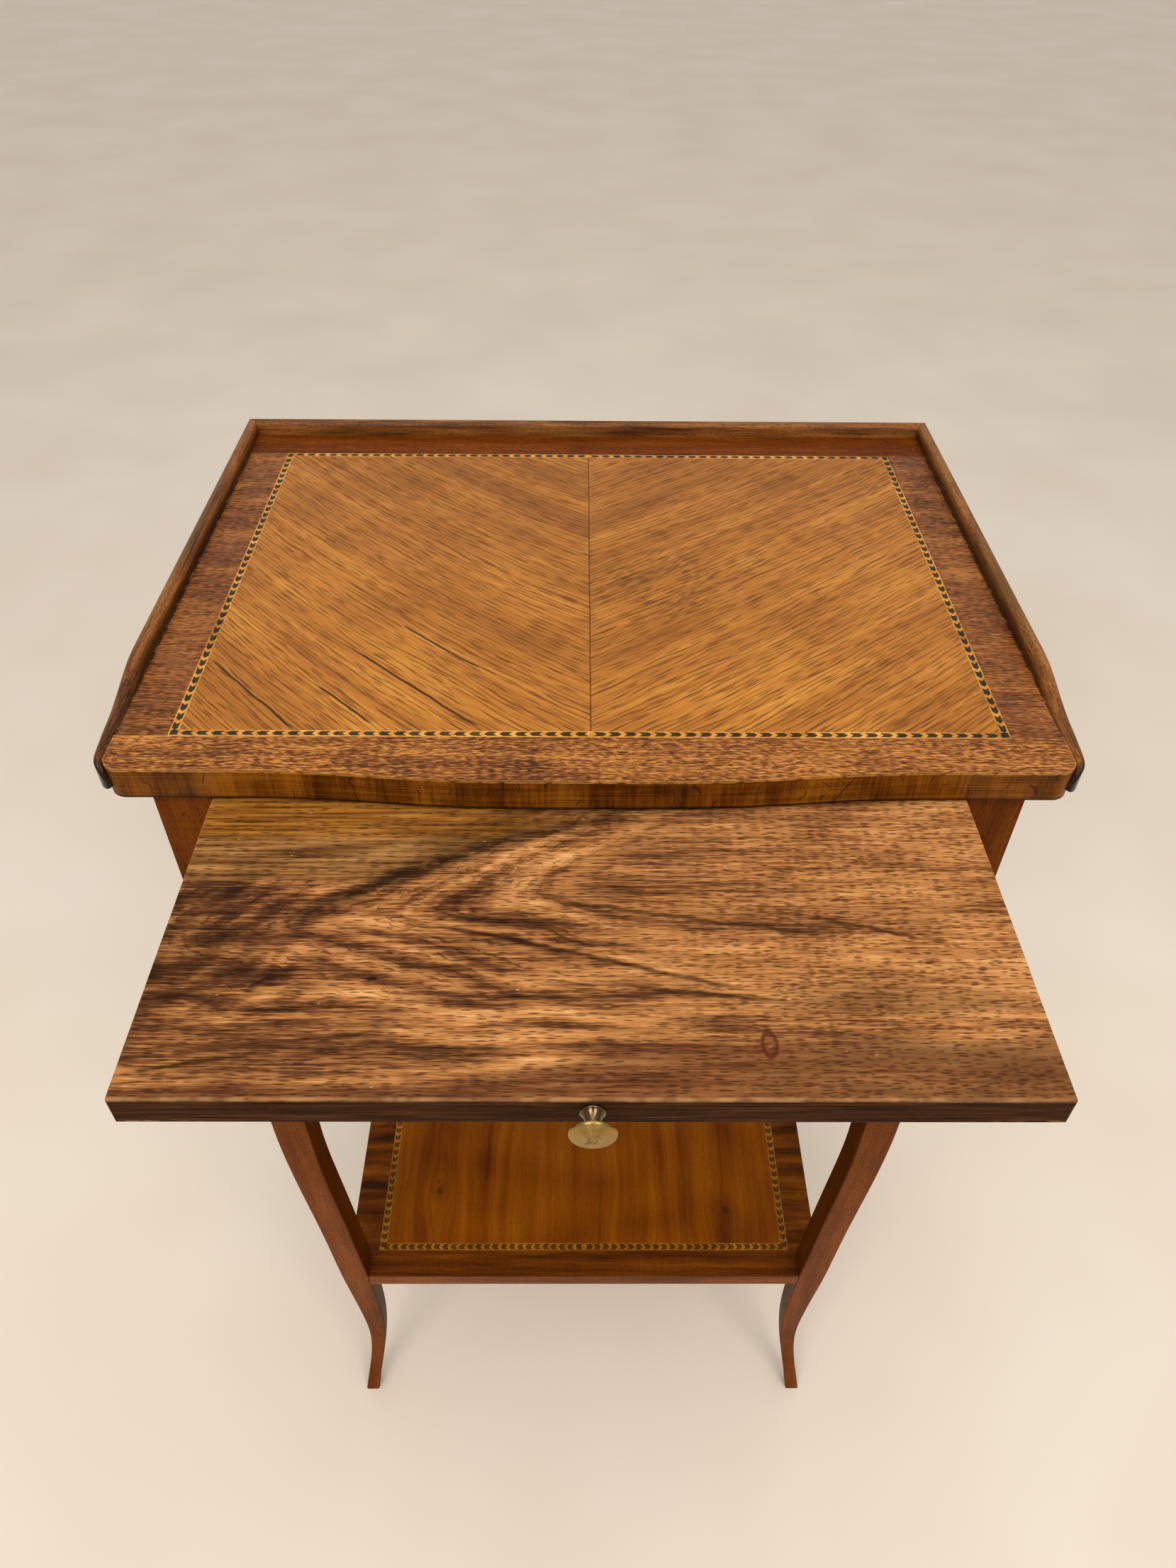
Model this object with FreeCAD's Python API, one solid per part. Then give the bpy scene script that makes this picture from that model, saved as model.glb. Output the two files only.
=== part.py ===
import FreeCAD, Part
import math
import os

# Sewing table: a veneered top with a low gallery, a pull-out slide with a brass knob, two shallow
# drawers, four curved legs and a lower shelf.  Millimetres, +Z up, the front faces -Y.  The origin
# is on the floor, in the middle of the outline that the table has with its slide drawn out.

# --- top -------------------------------------------------------------------------------------
TOP_HEIGHT = 750.0            # floor to the top surface
TOP_WIDTH = 414.0             # between the side gallery rails
TOP_DEPTH = 314.0             # front corners to the back gallery rail
TOP_THICKNESS = 16.0
BOW = 6.3                     # how far the middle of the front edge stands forward
BOW_FLAT = 24.0               # half-length of the straight middle of the front edge
BOW_END = 158.0               # where the front edge is back on the line of the corners
CORNER_RADIUS = 8.0           # front corners, in plan
LOWER_ARRIS = 3.0             # rounding under the two ends of the top
VENEER = 0.8
EDGE_STRIP = 1.2              # thickness of the strip round the front edge
BORDER_SIDE = 23.2            # width of the border veneers
BORDER_FRONT = 22.0
BORDER_BACK = 25.1
STRINGING = 4.0               # width of the top's dotted stringing

# --- gallery ---------------------------------------------------------------------------------
RAIL_THICKNESS = 6.5
RAIL_RISE = 8.5               # crest above the top surface
RAIL_DROP = 13.0              # lower edge below the top surface
NOSE_RISE = 1.6               # crest above the top surface near the front
SWEEP_START = 76.0            # distance behind the front corners where the crest starts to fall
SWEEP_END = 31.0              # where it has come down to NOSE_RISE
THIN_FROM = 46.0              # distance behind the front corners where the rail starts to thin
NOSE_THICKNESS = 3.9          # where the rail reaches the front corner
NOSE_TIP = 2.0                # at the end of the nose
NOSE_TURN = 50.0              # degrees of the front corner that the nose wraps
NOSE_FALL = 8.5               # how far the crest comes down round the corner
NOSE_LIFT = 1.5               # how far the lower edge comes up round the corner

# --- frame -----------------------------------------------------------------------------------
SIDE_OVERHANG = 15.0          # top beyond the posts, at the sides
END_OVERHANG = 7.0            # top beyond the posts, at front and back
POST = 26.0                   # posts are square down to the bottom of the case
POST_ARRIS = 1.2
PANEL = 14.0                  # thickness of the side and back panels
PANEL_SETBACK = 2.0           # panels behind the outer faces of the posts
TENON = 12.0                  # tenon length
TENON_THICKNESS = 7.0
TENON_SHOULDER = 8.0          # above and below each panel tenon
RAIL_DEPTH = 49.5             # front rails, front to back
RAIL_SETBACK = 1.0            # rails and drawer fronts behind the faces of the posts
RAIL_CHEEK = 2.0              # wood above and below the front rails' tenons
RAIL_TENON_FRONT = 4.0        # wood in front of and behind those tenons
RAIL_TENON_BACK = 5.0

# --- slide -----------------------------------------------------------------------------------
SLIDE_GAP = 1.6               # between the top's underside and the slide
SLIDE_THICKNESS = 14.4
SLIDE_LENGTH = 279.0
SLIDE_CLEARANCE = 3.0         # at each side, to the posts
SLIDE_OUT = 152.0             # how far it is drawn out as stored
SLIDE_ARRIS = 0.7
STOP_BLOCK = (20.0, 12.0, 9.5)
STOP_FROM_BACK = 4.5

# --- drawers ---------------------------------------------------------------------------------
RAIL_HEIGHT = 10.0            # the two upper front rails
BOTTOM_RAIL_HEIGHT = 12.0
DRAWER_OPENING = 64.0
DRAWER_GAP = 0.8              # round each drawer front
DRAWER_FRONT = 16.0
DRAWER_LENGTH = 264.0
DRAWER_SIDE = 8.0
DRAWER_SIDE_HEIGHT = 58.0
DRAWER_BACK_DROP = 3.0        # the back's top edge below the sides
DRAWER_BOTTOM = 5.0
DRAWER_BOTTOM_RISE = 6.0
GROOVE = 4.0
LAP = 6.0                     # wood left in front of the dovetails
TAIL_COUNT = 3
TAIL_WIDTH = 9.0              # at the neck
TAIL_FLARE = 1.6              # each side, at the wide end
TAIL_CLEAR = 2.0              # lowest tail above the drawer bottom
RUNNER_WIDTH = 26.0
GUIDE_HEIGHT = 12.0

# --- shelf -----------------------------------------------------------------------------------
SHELF_HEIGHT = 213.0          # floor to its top surface
SHELF_THICKNESS = 13.3
SHELF_INSET_SIDE = 10.7       # inside the outer faces of the posts
SHELF_INSET_END = 9.0
SHELF_BORDER_SIDE = 22.1
SHELF_BORDER_END = 20.3
SHELF_STRINGING = 5.5

# --- brass and steel ---------------------------------------------------------------------------
KNOB_DISC = 8.35              # radius
KNOB_BASE = 4.7
KNOB_WAIST = 2.2
KNOB_NECK = 8.0               # base to the back of the disc
KNOB_RIM = 1.6
KNOB_CONE = 1.7               # how far the disc's face is domed
KNOB_DIMPLE = 1.7             # radius of the turned ring in the middle
KNOB_BEVEL = 0.3              # depth of the ring, and again of the hollow inside it
KNOB_BASE_EDGE = 1.0          # thickness of the base's edge
KNOB_FLARE = (2.4, 5.0)       # how far out the neck's curve bends and ends its narrowing
KNOB_FILLET = 0.6             # neck to disc
KNOB_SHANK = 2.0
KNOB_SHANK_LENGTH = 11.0
SCREW_RADIUS = 1.7
SCREW_HEAD = 3.6
SCREW_LENGTH = 36.0
SCREW_FROM_FRONT = 12.0       # first and last screw from the ends of the runner
SCREW_FROM_BACK = 16.0
DOWEL_RADIUS = 3.0
DOWEL_LENGTH = 20.0
PILOT_CLEARANCE = 0.08        # round screws, dowels and knob shanks

# --- places worked out from the sizes above ---------------------------------------------------
HALF = TOP_WIDTH / 2
KNOB_LENGTH = KNOB_NECK + KNOB_RIM + KNOB_CONE
CLOSED_FRONT = END_OVERHANG + RAIL_SETBACK / 2      # slide's front edge when it is in
FRONT = (SLIDE_OUT + KNOB_LENGTH - CLOSED_FRONT - TOP_DEPTH - RAIL_THICKNESS) / 2
BACK = FRONT + TOP_DEPTH
TOP_UNDER = TOP_HEIGHT - TOP_THICKNESS
CORE_TOP = TOP_HEIGHT - VENEER
POST_X = HALF - SIDE_OVERHANG                       # outer faces of the posts
POST_INNER = POST_X - POST
POST_FRONT = FRONT + END_OVERHANG
POST_BACK = BACK - END_OVERHANG
MIDDLE_Y = (POST_FRONT + POST_BACK) / 2
RAIL_FRONT = POST_FRONT + RAIL_SETBACK
PANEL_X = POST_X - PANEL_SETBACK
PANEL_INNER = PANEL_X - PANEL
PANEL_BACK = POST_BACK - PANEL_SETBACK
SLIDE_TOP = TOP_UNDER - SLIDE_GAP
SLIDE_UNDER = SLIDE_TOP - SLIDE_THICKNESS
SLIDE_HALF = POST_INNER - SLIDE_CLEARANCE
SLIDE_FRONT = FRONT + CLOSED_FRONT - SLIDE_OUT
SLIDE_BACK = SLIDE_FRONT + SLIDE_LENGTH
UPPER_FLOOR = SLIDE_UNDER - RAIL_HEIGHT - DRAWER_OPENING
LOWER_FLOOR = UPPER_FLOOR - RAIL_HEIGHT - DRAWER_OPENING
CASE_BOTTOM = LOWER_FLOOR - BOTTOM_RAIL_HEIGHT
SHELF_HALF = POST_X - SHELF_INSET_SIDE
SHELF_FRONT = POST_FRONT + SHELF_INSET_END
SHELF_BACK = POST_BACK - SHELF_INSET_END
SHELF_CORE_TOP = SHELF_HEIGHT - VENEER
SHELF_UNDER = SHELF_HEIGHT - SHELF_THICKNESS

# The curve of a leg below the case, from the top down: height, how far the outer corner has moved
# in along both X and Y, and the side of the square section there.
LEG_AT_SHELF = (SHELF_HEIGHT, 7.8, 19.6)
LEG_STATIONS = [
    (450.0, 0.0, 20.8), (405.0, 0.6, 20.3), (360.0, 2.2, 19.9), (310.0, 4.4, 19.7),
    (260.0, 6.2, 19.7), LEG_AT_SHELF, (165.0, 10.2, 17.8), (125.0, 12.0, 15.6),
    (92.0, 12.5, 12.9), (64.0, 10.6, 11.2), (40.0, 7.2, 10.4), (18.0, 3.2, 10.5), (0.0, 0.0, 11.0)]


def vec(x, y, z=0.0):
    return FreeCAD.Vector(x, y, z)


def block(x0, x1, y0, y1, z0, z1):
    """A box between two corners."""
    low = vec(min(x0, x1), min(y0, y1), min(z0, z1))
    return Part.makeBox(abs(x1 - x0), abs(y1 - y0), abs(z1 - z0), low)


def polygon_prism(points, along):
    """A straight prism of a closed outline."""
    wire = Part.makePolygon(points + [points[0]])
    return Part.Face(wire).extrude(along)


def mirror_x(shape):
    return shape.mirror(vec(0, 0), vec(1, 0))


def both_sides(shape):
    return {"right": shape, "left": mirror_x(shape)}


# --- top ---------------------------------------------------------------------------------------
def front_curve(inset):
    """Edges of the front line from the right corner to the left, inset from the outer face."""
    y = FRONT + inset
    radius = CORNER_RADIUS - inset
    edge = HALF - inset
    straight = edge - radius
    side_y = FRONT + CORNER_RADIUS
    middle = (BOW_FLAT + BOW_END) / 2
    turn = radius * math.sqrt(0.5)
    right_corner = Part.Arc(vec(edge, side_y), vec(straight + turn, side_y - turn), vec(straight, y))
    left_corner = Part.Arc(vec(-straight, y), vec(-straight - turn, side_y - turn), vec(-edge, side_y))
    right_wave = Part.BezierCurve()
    right_wave.setPoles([vec(BOW_END, y), vec(middle, y), vec(middle, y - BOW), vec(BOW_FLAT, y - BOW)])
    left_wave = Part.BezierCurve()
    left_wave.setPoles([vec(-BOW_FLAT, y - BOW), vec(-middle, y - BOW), vec(-middle, y), vec(-BOW_END, y)])
    curves = [right_corner,
              Part.LineSegment(vec(straight, y), vec(BOW_END, y)),
              right_wave,
              Part.LineSegment(vec(BOW_FLAT, y - BOW), vec(-BOW_FLAT, y - BOW)),
              left_wave,
              Part.LineSegment(vec(-BOW_END, y), vec(-straight, y)),
              left_corner]
    return [curve.toShape() for curve in curves]


def top_plan(inset, back_y):
    """The top's outline in plan as a face, with its front and ends inset."""
    edge = HALF - inset
    side_y = FRONT + CORNER_RADIUS
    closing = Part.makePolygon([vec(-edge, side_y), vec(-edge, back_y), vec(edge, back_y), vec(edge, side_y)])
    return Part.Face(Part.Wire(front_curve(inset) + closing.Edges))


def top_slab(z0, z1, inset=0.0, back_y=BACK):
    slab = top_plan(inset, back_y).extrude(vec(0, 0, z1 - z0))
    slab.translate(vec(0, 0, z0))
    return slab


def top_front_edge():
    """The strip that wraps the front edge and both front corners."""
    ring = top_slab(TOP_UNDER, CORE_TOP).cut(top_slab(TOP_UNDER - 1, CORE_TOP + 1, EDGE_STRIP, BACK - 1))
    front_part = block(-HALF - 1, HALF + 1, FRONT - 2 * BOW, FRONT + CORNER_RADIUS, TOP_UNDER - 1, TOP_HEIGHT)
    return ring.common(front_part)


def top_board(strip, screws):
    core = top_slab(TOP_UNDER, CORE_TOP).cut(strip)
    lower_ends = [edge for edge in core.Edges
                  if abs(edge.BoundBox.ZMax - TOP_UNDER) < 0.01 and edge.BoundBox.XLength < 0.01
                  and edge.BoundBox.YLength > TOP_DEPTH / 2]
    core = core.makeFillet(LOWER_ARRIS, lower_ends)
    return core.cut(screws)


def frame_strips(x, y0, y1, width, z0, z1):
    """Four mitred strips of one width, just inside the rectangle from -x to x and y0 to y1."""
    height = vec(0, 0, z1 - z0)
    i = width
    front = [vec(-x, y0, z0), vec(x, y0, z0), vec(x - i, y0 + i, z0), vec(-x + i, y0 + i, z0)]
    back = [vec(-x, y1, z0), vec(-x + i, y1 - i, z0), vec(x - i, y1 - i, z0), vec(x, y1, z0)]
    right = [vec(x, y0, z0), vec(x, y1, z0), vec(x - i, y1 - i, z0), vec(x - i, y0 + i, z0)]
    strips = {"front": polygon_prism(front, height), "back": polygon_prism(back, height)}
    strips.update(both_sides(polygon_prism(right, height)))
    return strips


def top_veneers():
    """Border, stringing and centre veneers, all flush with the top surface."""
    x = HALF - BORDER_SIDE
    y0 = FRONT + BORDER_FRONT
    y1 = BACK - BORDER_BACK
    z0 = CORE_TOP
    z1 = TOP_HEIGHT
    nodes = {"top_border_front": top_slab(z0, z1, 0.0, y0),
             "top_border_back": block(-HALF, HALF, y1, BACK, z0, z1)}
    for side, shape in both_sides(block(x, HALF, y0, y1, z0, z1)).items():
        nodes["top_border_" + side] = shape
    for side, shape in frame_strips(x, y0, y1, STRINGING, z0, z1).items():
        nodes["top_stringing_" + side] = shape
    centre = block(0, x - STRINGING, y0 + STRINGING, y1 - STRINGING, z0, z1)
    for side, shape in both_sides(centre).items():
        nodes["top_veneer_" + side] = shape
    return nodes


# --- gallery -----------------------------------------------------------------------------------
def rail_section(foot, outward, thickness, low, crest):
    """A gallery section: flat foot and faces, and a fully rounded crest."""
    radius = thickness / 2
    outer = foot + outward * thickness
    ridge = foot + outward * radius
    shoulder = crest - radius
    inner_top = vec(foot.x, foot.y, shoulder)
    outer_top = vec(outer.x, outer.y, shoulder)
    inner_low = vec(foot.x, foot.y, low)
    outer_low = vec(outer.x, outer.y, low)
    edges = [Part.LineSegment(inner_low, inner_top),
             Part.Arc(inner_top, vec(ridge.x, ridge.y, crest), outer_top),
             Part.LineSegment(outer_top, outer_low),
             Part.LineSegment(outer_low, inner_low)]
    return Part.Wire([edge.toShape() for edge in edges])


def crest_at(distance):
    """Height of the side rail's crest at a distance behind the front corners."""
    share = min(1.0, max(0.0, (distance - SWEEP_END) / (SWEEP_START - SWEEP_END)))
    smooth = share * share * (3 - 2 * share)
    return TOP_HEIGHT + NOSE_RISE + (RAIL_RISE - NOSE_RISE) * smooth


def thickness_at(distance):
    """Thickness of the side rail at a distance behind the front corners."""
    share = min(1.0, max(0.0, (distance - CORNER_RADIUS) / (THIN_FROM - CORNER_RADIUS)))
    return NOSE_THICKNESS + (RAIL_THICKNESS - NOSE_THICKNESS) * share * (2 - share)


def gallery_side():
    """The right rail: straight at the back, swept down, thinned and wrapped round the front corner."""
    low = TOP_HEIGHT - RAIL_DROP
    first = vec(HALF, FRONT + SWEEP_START)
    full = rail_section(first, vec(1, 0), RAIL_THICKNESS, low, TOP_HEIGHT + RAIL_RISE)
    straight = Part.Face(full).extrude(vec(0, TOP_DEPTH - SWEEP_START + RAIL_THICKNESS, 0))
    sections = []
    stations = 10
    for i in range(stations):
        distance = SWEEP_START + (CORNER_RADIUS - SWEEP_START) * i / (stations - 1)
        foot = vec(HALF, FRONT + distance)
        sections.append(rail_section(foot, vec(1, 0), thickness_at(distance), low, crest_at(distance)))
    centre = vec(HALF - CORNER_RADIUS, FRONT + CORNER_RADIUS)
    turns = 4
    for i in range(1, turns + 1):
        share = i / turns
        angle = math.radians(NOSE_TURN) * share
        outward = vec(math.cos(angle), -math.sin(angle))
        bend = share * share
        thickness = NOSE_THICKNESS + (NOSE_TIP - NOSE_THICKNESS) * bend
        foot = centre + outward * CORNER_RADIUS
        crest = TOP_HEIGHT + NOSE_RISE - NOSE_FALL * bend
        sections.append(rail_section(foot, outward, thickness, low + NOSE_LIFT * bend, crest))
    swept = Part.makeLoft(sections, True, False)
    rail = straight.fuse(swept).removeSplitter()
    rail = rail.cut(top_slab(TOP_UNDER - 1, TOP_HEIGHT))
    past = RAIL_THICKNESS + 1
    waste = polygon_prism([vec(HALF - 1, BACK - 1, low - 1), vec(HALF + past, BACK + past, low - 1),
                           vec(HALF - 1, BACK + past, low - 1)], vec(0, 0, 40))
    return rail.cut(waste)


def gallery_back():
    low = TOP_HEIGHT - RAIL_DROP
    section = rail_section(vec(-HALF - RAIL_THICKNESS, BACK), vec(0, 1), RAIL_THICKNESS, low,
                           TOP_HEIGHT + RAIL_RISE)
    rail = Part.Face(section).extrude(vec(TOP_WIDTH + 2 * RAIL_THICKNESS, 0, 0))
    past = RAIL_THICKNESS + 1
    waste = polygon_prism([vec(HALF - 1, BACK - 1, low - 1), vec(HALF + past, BACK + past, low - 1),
                           vec(HALF + past, BACK - 1, low - 1)], vec(0, 0, 40))
    return rail.cut(waste).cut(mirror_x(waste))


# --- legs --------------------------------------------------------------------------------------
def square_wire(x_outer, y_outer, side, z, arris):
    """A square with rounded corners, whose outer corner is at (x_outer, y_outer), front right."""
    x0 = x_outer - side
    x1 = x_outer
    y0 = y_outer
    y1 = y_outer + side
    r = arris
    k = r * (1 - math.sqrt(0.5))
    curves = [Part.LineSegment(vec(x0 + r, y0, z), vec(x1 - r, y0, z)),
              Part.Arc(vec(x1 - r, y0, z), vec(x1 - k, y0 + k, z), vec(x1, y0 + r, z)),
              Part.LineSegment(vec(x1, y0 + r, z), vec(x1, y1 - r, z)),
              Part.Arc(vec(x1, y1 - r, z), vec(x1 - k, y1 - k, z), vec(x1 - r, y1, z)),
              Part.LineSegment(vec(x1 - r, y1, z), vec(x0 + r, y1, z)),
              Part.Arc(vec(x0 + r, y1, z), vec(x0 + k, y1 - k, z), vec(x0, y1 - r, z)),
              Part.LineSegment(vec(x0, y1 - r, z), vec(x0, y0 + r, z)),
              Part.Arc(vec(x0, y0 + r, z), vec(x0 + k, y0 + k, z), vec(x0 + r, y0, z))]
    return Part.Wire([curve.toShape() for curve in curves])


def plain_leg():
    """The front right leg with no mortises."""
    top = square_wire(POST_X, POST_FRONT, POST, TOP_UNDER, POST_ARRIS)
    post = Part.Face(top).extrude(vec(0, 0, CASE_BOTTOM - TOP_UNDER))
    case_end = square_wire(POST_X, POST_FRONT, POST, CASE_BOTTOM, POST_ARRIS)
    first_z, first_shift, first_side = LEG_STATIONS[0]
    taper_end = square_wire(POST_X - first_shift, POST_FRONT + first_shift, first_side, first_z, POST_ARRIS)
    taper = Part.makeLoft([case_end, taper_end], True, True)
    curve = Part.makeLoft([square_wire(POST_X - shift, POST_FRONT + shift, side, z, POST_ARRIS)
                           for z, shift, side in LEG_STATIONS], True, False)
    return post.fuse([taper, curve]).removeSplitter()


def legs(tenons, dowels):
    """All four legs, each cut for the tenons and dowels that enter it."""
    front_right = plain_leg()
    back_right = front_right.mirror(vec(0, MIDDLE_Y), vec(0, 1, 0))
    nodes = {}
    for place, shape in (("front", front_right), ("back", back_right)):
        for side, leg in both_sides(shape).items():
            nodes["leg_" + place + "_" + side] = leg.cut(tenons).cut(dowels)
    return nodes


# --- case --------------------------------------------------------------------------------------
def side_panel():
    """The right side panel with a tenon at each end."""
    body = block(PANEL_INNER, PANEL_X, POST_FRONT + POST, POST_BACK - POST, CASE_BOTTOM, TOP_UNDER)
    middle = (PANEL_INNER + PANEL_X) / 2
    tongue = block(middle - TENON_THICKNESS / 2, middle + TENON_THICKNESS / 2,
                   POST_FRONT + POST - TENON, POST_BACK - POST + TENON,
                   CASE_BOTTOM + TENON_SHOULDER, TOP_UNDER - TENON_SHOULDER)
    return body.fuse(tongue)


def back_panel():
    body = block(-POST_INNER, POST_INNER, PANEL_BACK - PANEL, PANEL_BACK, CASE_BOTTOM, TOP_UNDER)
    middle = PANEL_BACK - PANEL / 2
    tongue = block(-POST_INNER - TENON, POST_INNER + TENON,
                   middle - TENON_THICKNESS / 2, middle + TENON_THICKNESS / 2,
                   CASE_BOTTOM + TENON_SHOULDER, TOP_UNDER - TENON_SHOULDER)
    return body.fuse(tongue)


def front_rail(z_top, height):
    """A rail laid flat between the front posts, with a stub tenon at each end."""
    body = block(-POST_INNER, POST_INNER, RAIL_FRONT, RAIL_FRONT + RAIL_DEPTH, z_top - height, z_top)
    tongue = block(-POST_INNER - TENON, POST_INNER + TENON,
                   RAIL_FRONT + RAIL_TENON_FRONT, POST_FRONT + POST - RAIL_TENON_BACK,
                   z_top - height + RAIL_CHEEK, z_top - RAIL_CHEEK)
    return body.fuse(tongue)


def runner(z_top, guide_height):
    """The right-hand runner: a ledge to slide on, with a guide strip along its outer side."""
    y0 = RAIL_FRONT + RAIL_DEPTH
    y1 = POST_BACK - POST
    inner = PANEL_INNER - RUNNER_WIDTH
    ledge = block(inner, PANEL_INNER, y0, y1, z_top - RAIL_HEIGHT, z_top)
    guide = block(POST_INNER, PANEL_INNER, y0, y1, z_top, z_top + guide_height)
    return ledge.fuse(guide).removeSplitter()


# --- fasteners ---------------------------------------------------------------------------------
def screw(x, y, z_head, extra=0.0):
    """A countersunk wood screw that points up, with its head's face at z_head."""
    shank = SCREW_RADIUS + extra
    head = SCREW_HEAD + extra
    cone = SCREW_HEAD - SCREW_RADIUS
    profile = [vec(0, 0, 0), vec(head, 0, 0), vec(shank, 0, cone), vec(shank, 0, SCREW_LENGTH),
               vec(0, 0, SCREW_LENGTH)]
    turned = Part.Face(Part.makePolygon(profile + [profile[0]])).revolve(vec(0, 0), vec(0, 0, 1), 360)
    turned.translate(vec(x, y, z_head))
    return turned


def top_screws(extra=0.0):
    """Six screws up through the slide runners into the top."""
    x = (POST_INNER + PANEL_INNER) / 2
    z = SLIDE_UNDER - RAIL_HEIGHT
    y0 = RAIL_FRONT + RAIL_DEPTH + SCREW_FROM_FRONT
    y1 = POST_BACK - POST - SCREW_FROM_BACK
    places = [y0, (y0 + y1) / 2, y1]
    return Part.makeCompound([screw(side * x, y, z, extra) for side in (-1, 1) for y in places])


def shelf_dowels(extra=0.0):
    """Four dowels, each half in the shelf's notch and half in a leg."""
    z = SHELF_HEIGHT - SHELF_THICKNESS / 2
    shift, side = LEG_AT_SHELF[1:]
    start = POST_X - shift - side - DOWEL_LENGTH / 2
    from_end = shift + side / 2
    rods = []
    for way in (-1, 1):
        for y in (POST_FRONT + from_end, POST_BACK - from_end):
            end = vec(way * start, y, z)
            rods.append(Part.makeCylinder(DOWEL_RADIUS + extra, DOWEL_LENGTH, end, vec(way, 0)))
    return Part.makeCompound(rods)


def knob(face_y, z):
    """A turned brass knob whose base sits on a vertical face at face_y, with its shank behind."""
    shank = KNOB_SHANK
    disc_y = face_y - KNOB_NECK
    front_y = disc_y - KNOB_RIM
    rim = KNOB_RIM / 2
    cone = KNOB_CONE / (KNOB_DISC - rim)
    ring_y = front_y - cone * (KNOB_DISC - rim - KNOB_DIMPLE)
    hollow = vec(KNOB_DIMPLE - KNOB_BEVEL, ring_y + KNOB_BEVEL)
    neck = Part.BezierCurve()
    fillet_low = vec(KNOB_WAIST, disc_y + KNOB_FILLET)
    fillet_high = vec(KNOB_WAIST + KNOB_FILLET, disc_y)
    inside = KNOB_FILLET * (1 - math.sqrt(0.5))
    neck.setPoles([vec(KNOB_BASE, face_y - KNOB_BASE_EDGE), vec(KNOB_WAIST, face_y - KNOB_FLARE[0]),
                   vec(KNOB_WAIST, face_y - KNOB_FLARE[1]), fillet_low])
    fillet = Part.Arc(fillet_low, vec(KNOB_WAIST + inside, disc_y + inside), fillet_high)
    rim_arc = Part.Arc(vec(KNOB_DISC - rim, disc_y), vec(KNOB_DISC, disc_y - rim),
                       vec(KNOB_DISC - rim, front_y))
    curves = [Part.LineSegment(vec(0, face_y + KNOB_SHANK_LENGTH), vec(shank, face_y + KNOB_SHANK_LENGTH)),
              Part.LineSegment(vec(shank, face_y + KNOB_SHANK_LENGTH), vec(shank, face_y)),
              Part.LineSegment(vec(shank, face_y), vec(KNOB_BASE, face_y)),
              Part.LineSegment(vec(KNOB_BASE, face_y), vec(KNOB_BASE, face_y - KNOB_BASE_EDGE)),
              neck,
              fillet,
              Part.LineSegment(fillet_high, vec(KNOB_DISC - rim, disc_y)),
              rim_arc,
              Part.LineSegment(vec(KNOB_DISC - rim, front_y), vec(KNOB_DIMPLE, ring_y)),
              Part.LineSegment(vec(KNOB_DIMPLE, ring_y), hollow),
              Part.LineSegment(hollow, vec(0, hollow.y + KNOB_BEVEL)),
              Part.LineSegment(vec(0, hollow.y + KNOB_BEVEL), vec(0, face_y + KNOB_SHANK_LENGTH))]
    wire = Part.Wire([curve.toShape() for curve in curves])
    turned = Part.Face(wire).revolve(vec(0, 0), vec(0, 1, 0), 360)
    turned.translate(vec(0, 0, z))
    return turned


def shank_hole(face_y, z):
    return Part.makeCylinder(KNOB_SHANK + PILOT_CLEARANCE, KNOB_SHANK_LENGTH, vec(0, face_y, z), vec(0, 1, 0))


# --- slide -------------------------------------------------------------------------------------
def slide():
    middle = (SLIDE_TOP + SLIDE_UNDER) / 2
    board = block(-SLIDE_HALF, SLIDE_HALF, SLIDE_FRONT, SLIDE_BACK, SLIDE_UNDER, SLIDE_TOP)
    front_edges = [edge for edge in board.Edges
                   if abs(edge.BoundBox.YMax - SLIDE_FRONT) < 0.01 and edge.BoundBox.XLength > 1]
    board = board.makeFillet(SLIDE_ARRIS, front_edges)
    width, depth, height = STOP_BLOCK
    stop_back = SLIDE_BACK - STOP_FROM_BACK
    inner = SLIDE_HALF - RUNNER_WIDTH - width
    stop = block(inner, inner + width, stop_back - depth, stop_back, SLIDE_UNDER - height, SLIDE_UNDER)
    return {"slide_board": board.cut(shank_hole(SLIDE_FRONT, middle)),
            "slide_knob": knob(SLIDE_FRONT, middle),
            "slide_stops": Part.makeCompound([stop, mirror_x(stop)])}


# --- drawers -----------------------------------------------------------------------------------
def tails(y_neck, y_wide, x0, x1, z0, z1):
    """Dovetails between two heights, narrow at y_neck and wide at y_wide."""
    pitch = (z1 - z0) / TAIL_COUNT
    shapes = []
    for i in range(TAIL_COUNT):
        z = z0 + pitch * (i + 0.5)
        neck = TAIL_WIDTH / 2
        wide = neck + TAIL_FLARE
        outline = [vec(x0, y_neck, z - neck), vec(x0, y_neck, z + neck), vec(x0, y_wide, z + wide),
                   vec(x0, y_wide, z - wide)]
        shapes.append(polygon_prism(outline, vec(x1 - x0, 0, 0)))
    return shapes


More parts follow.
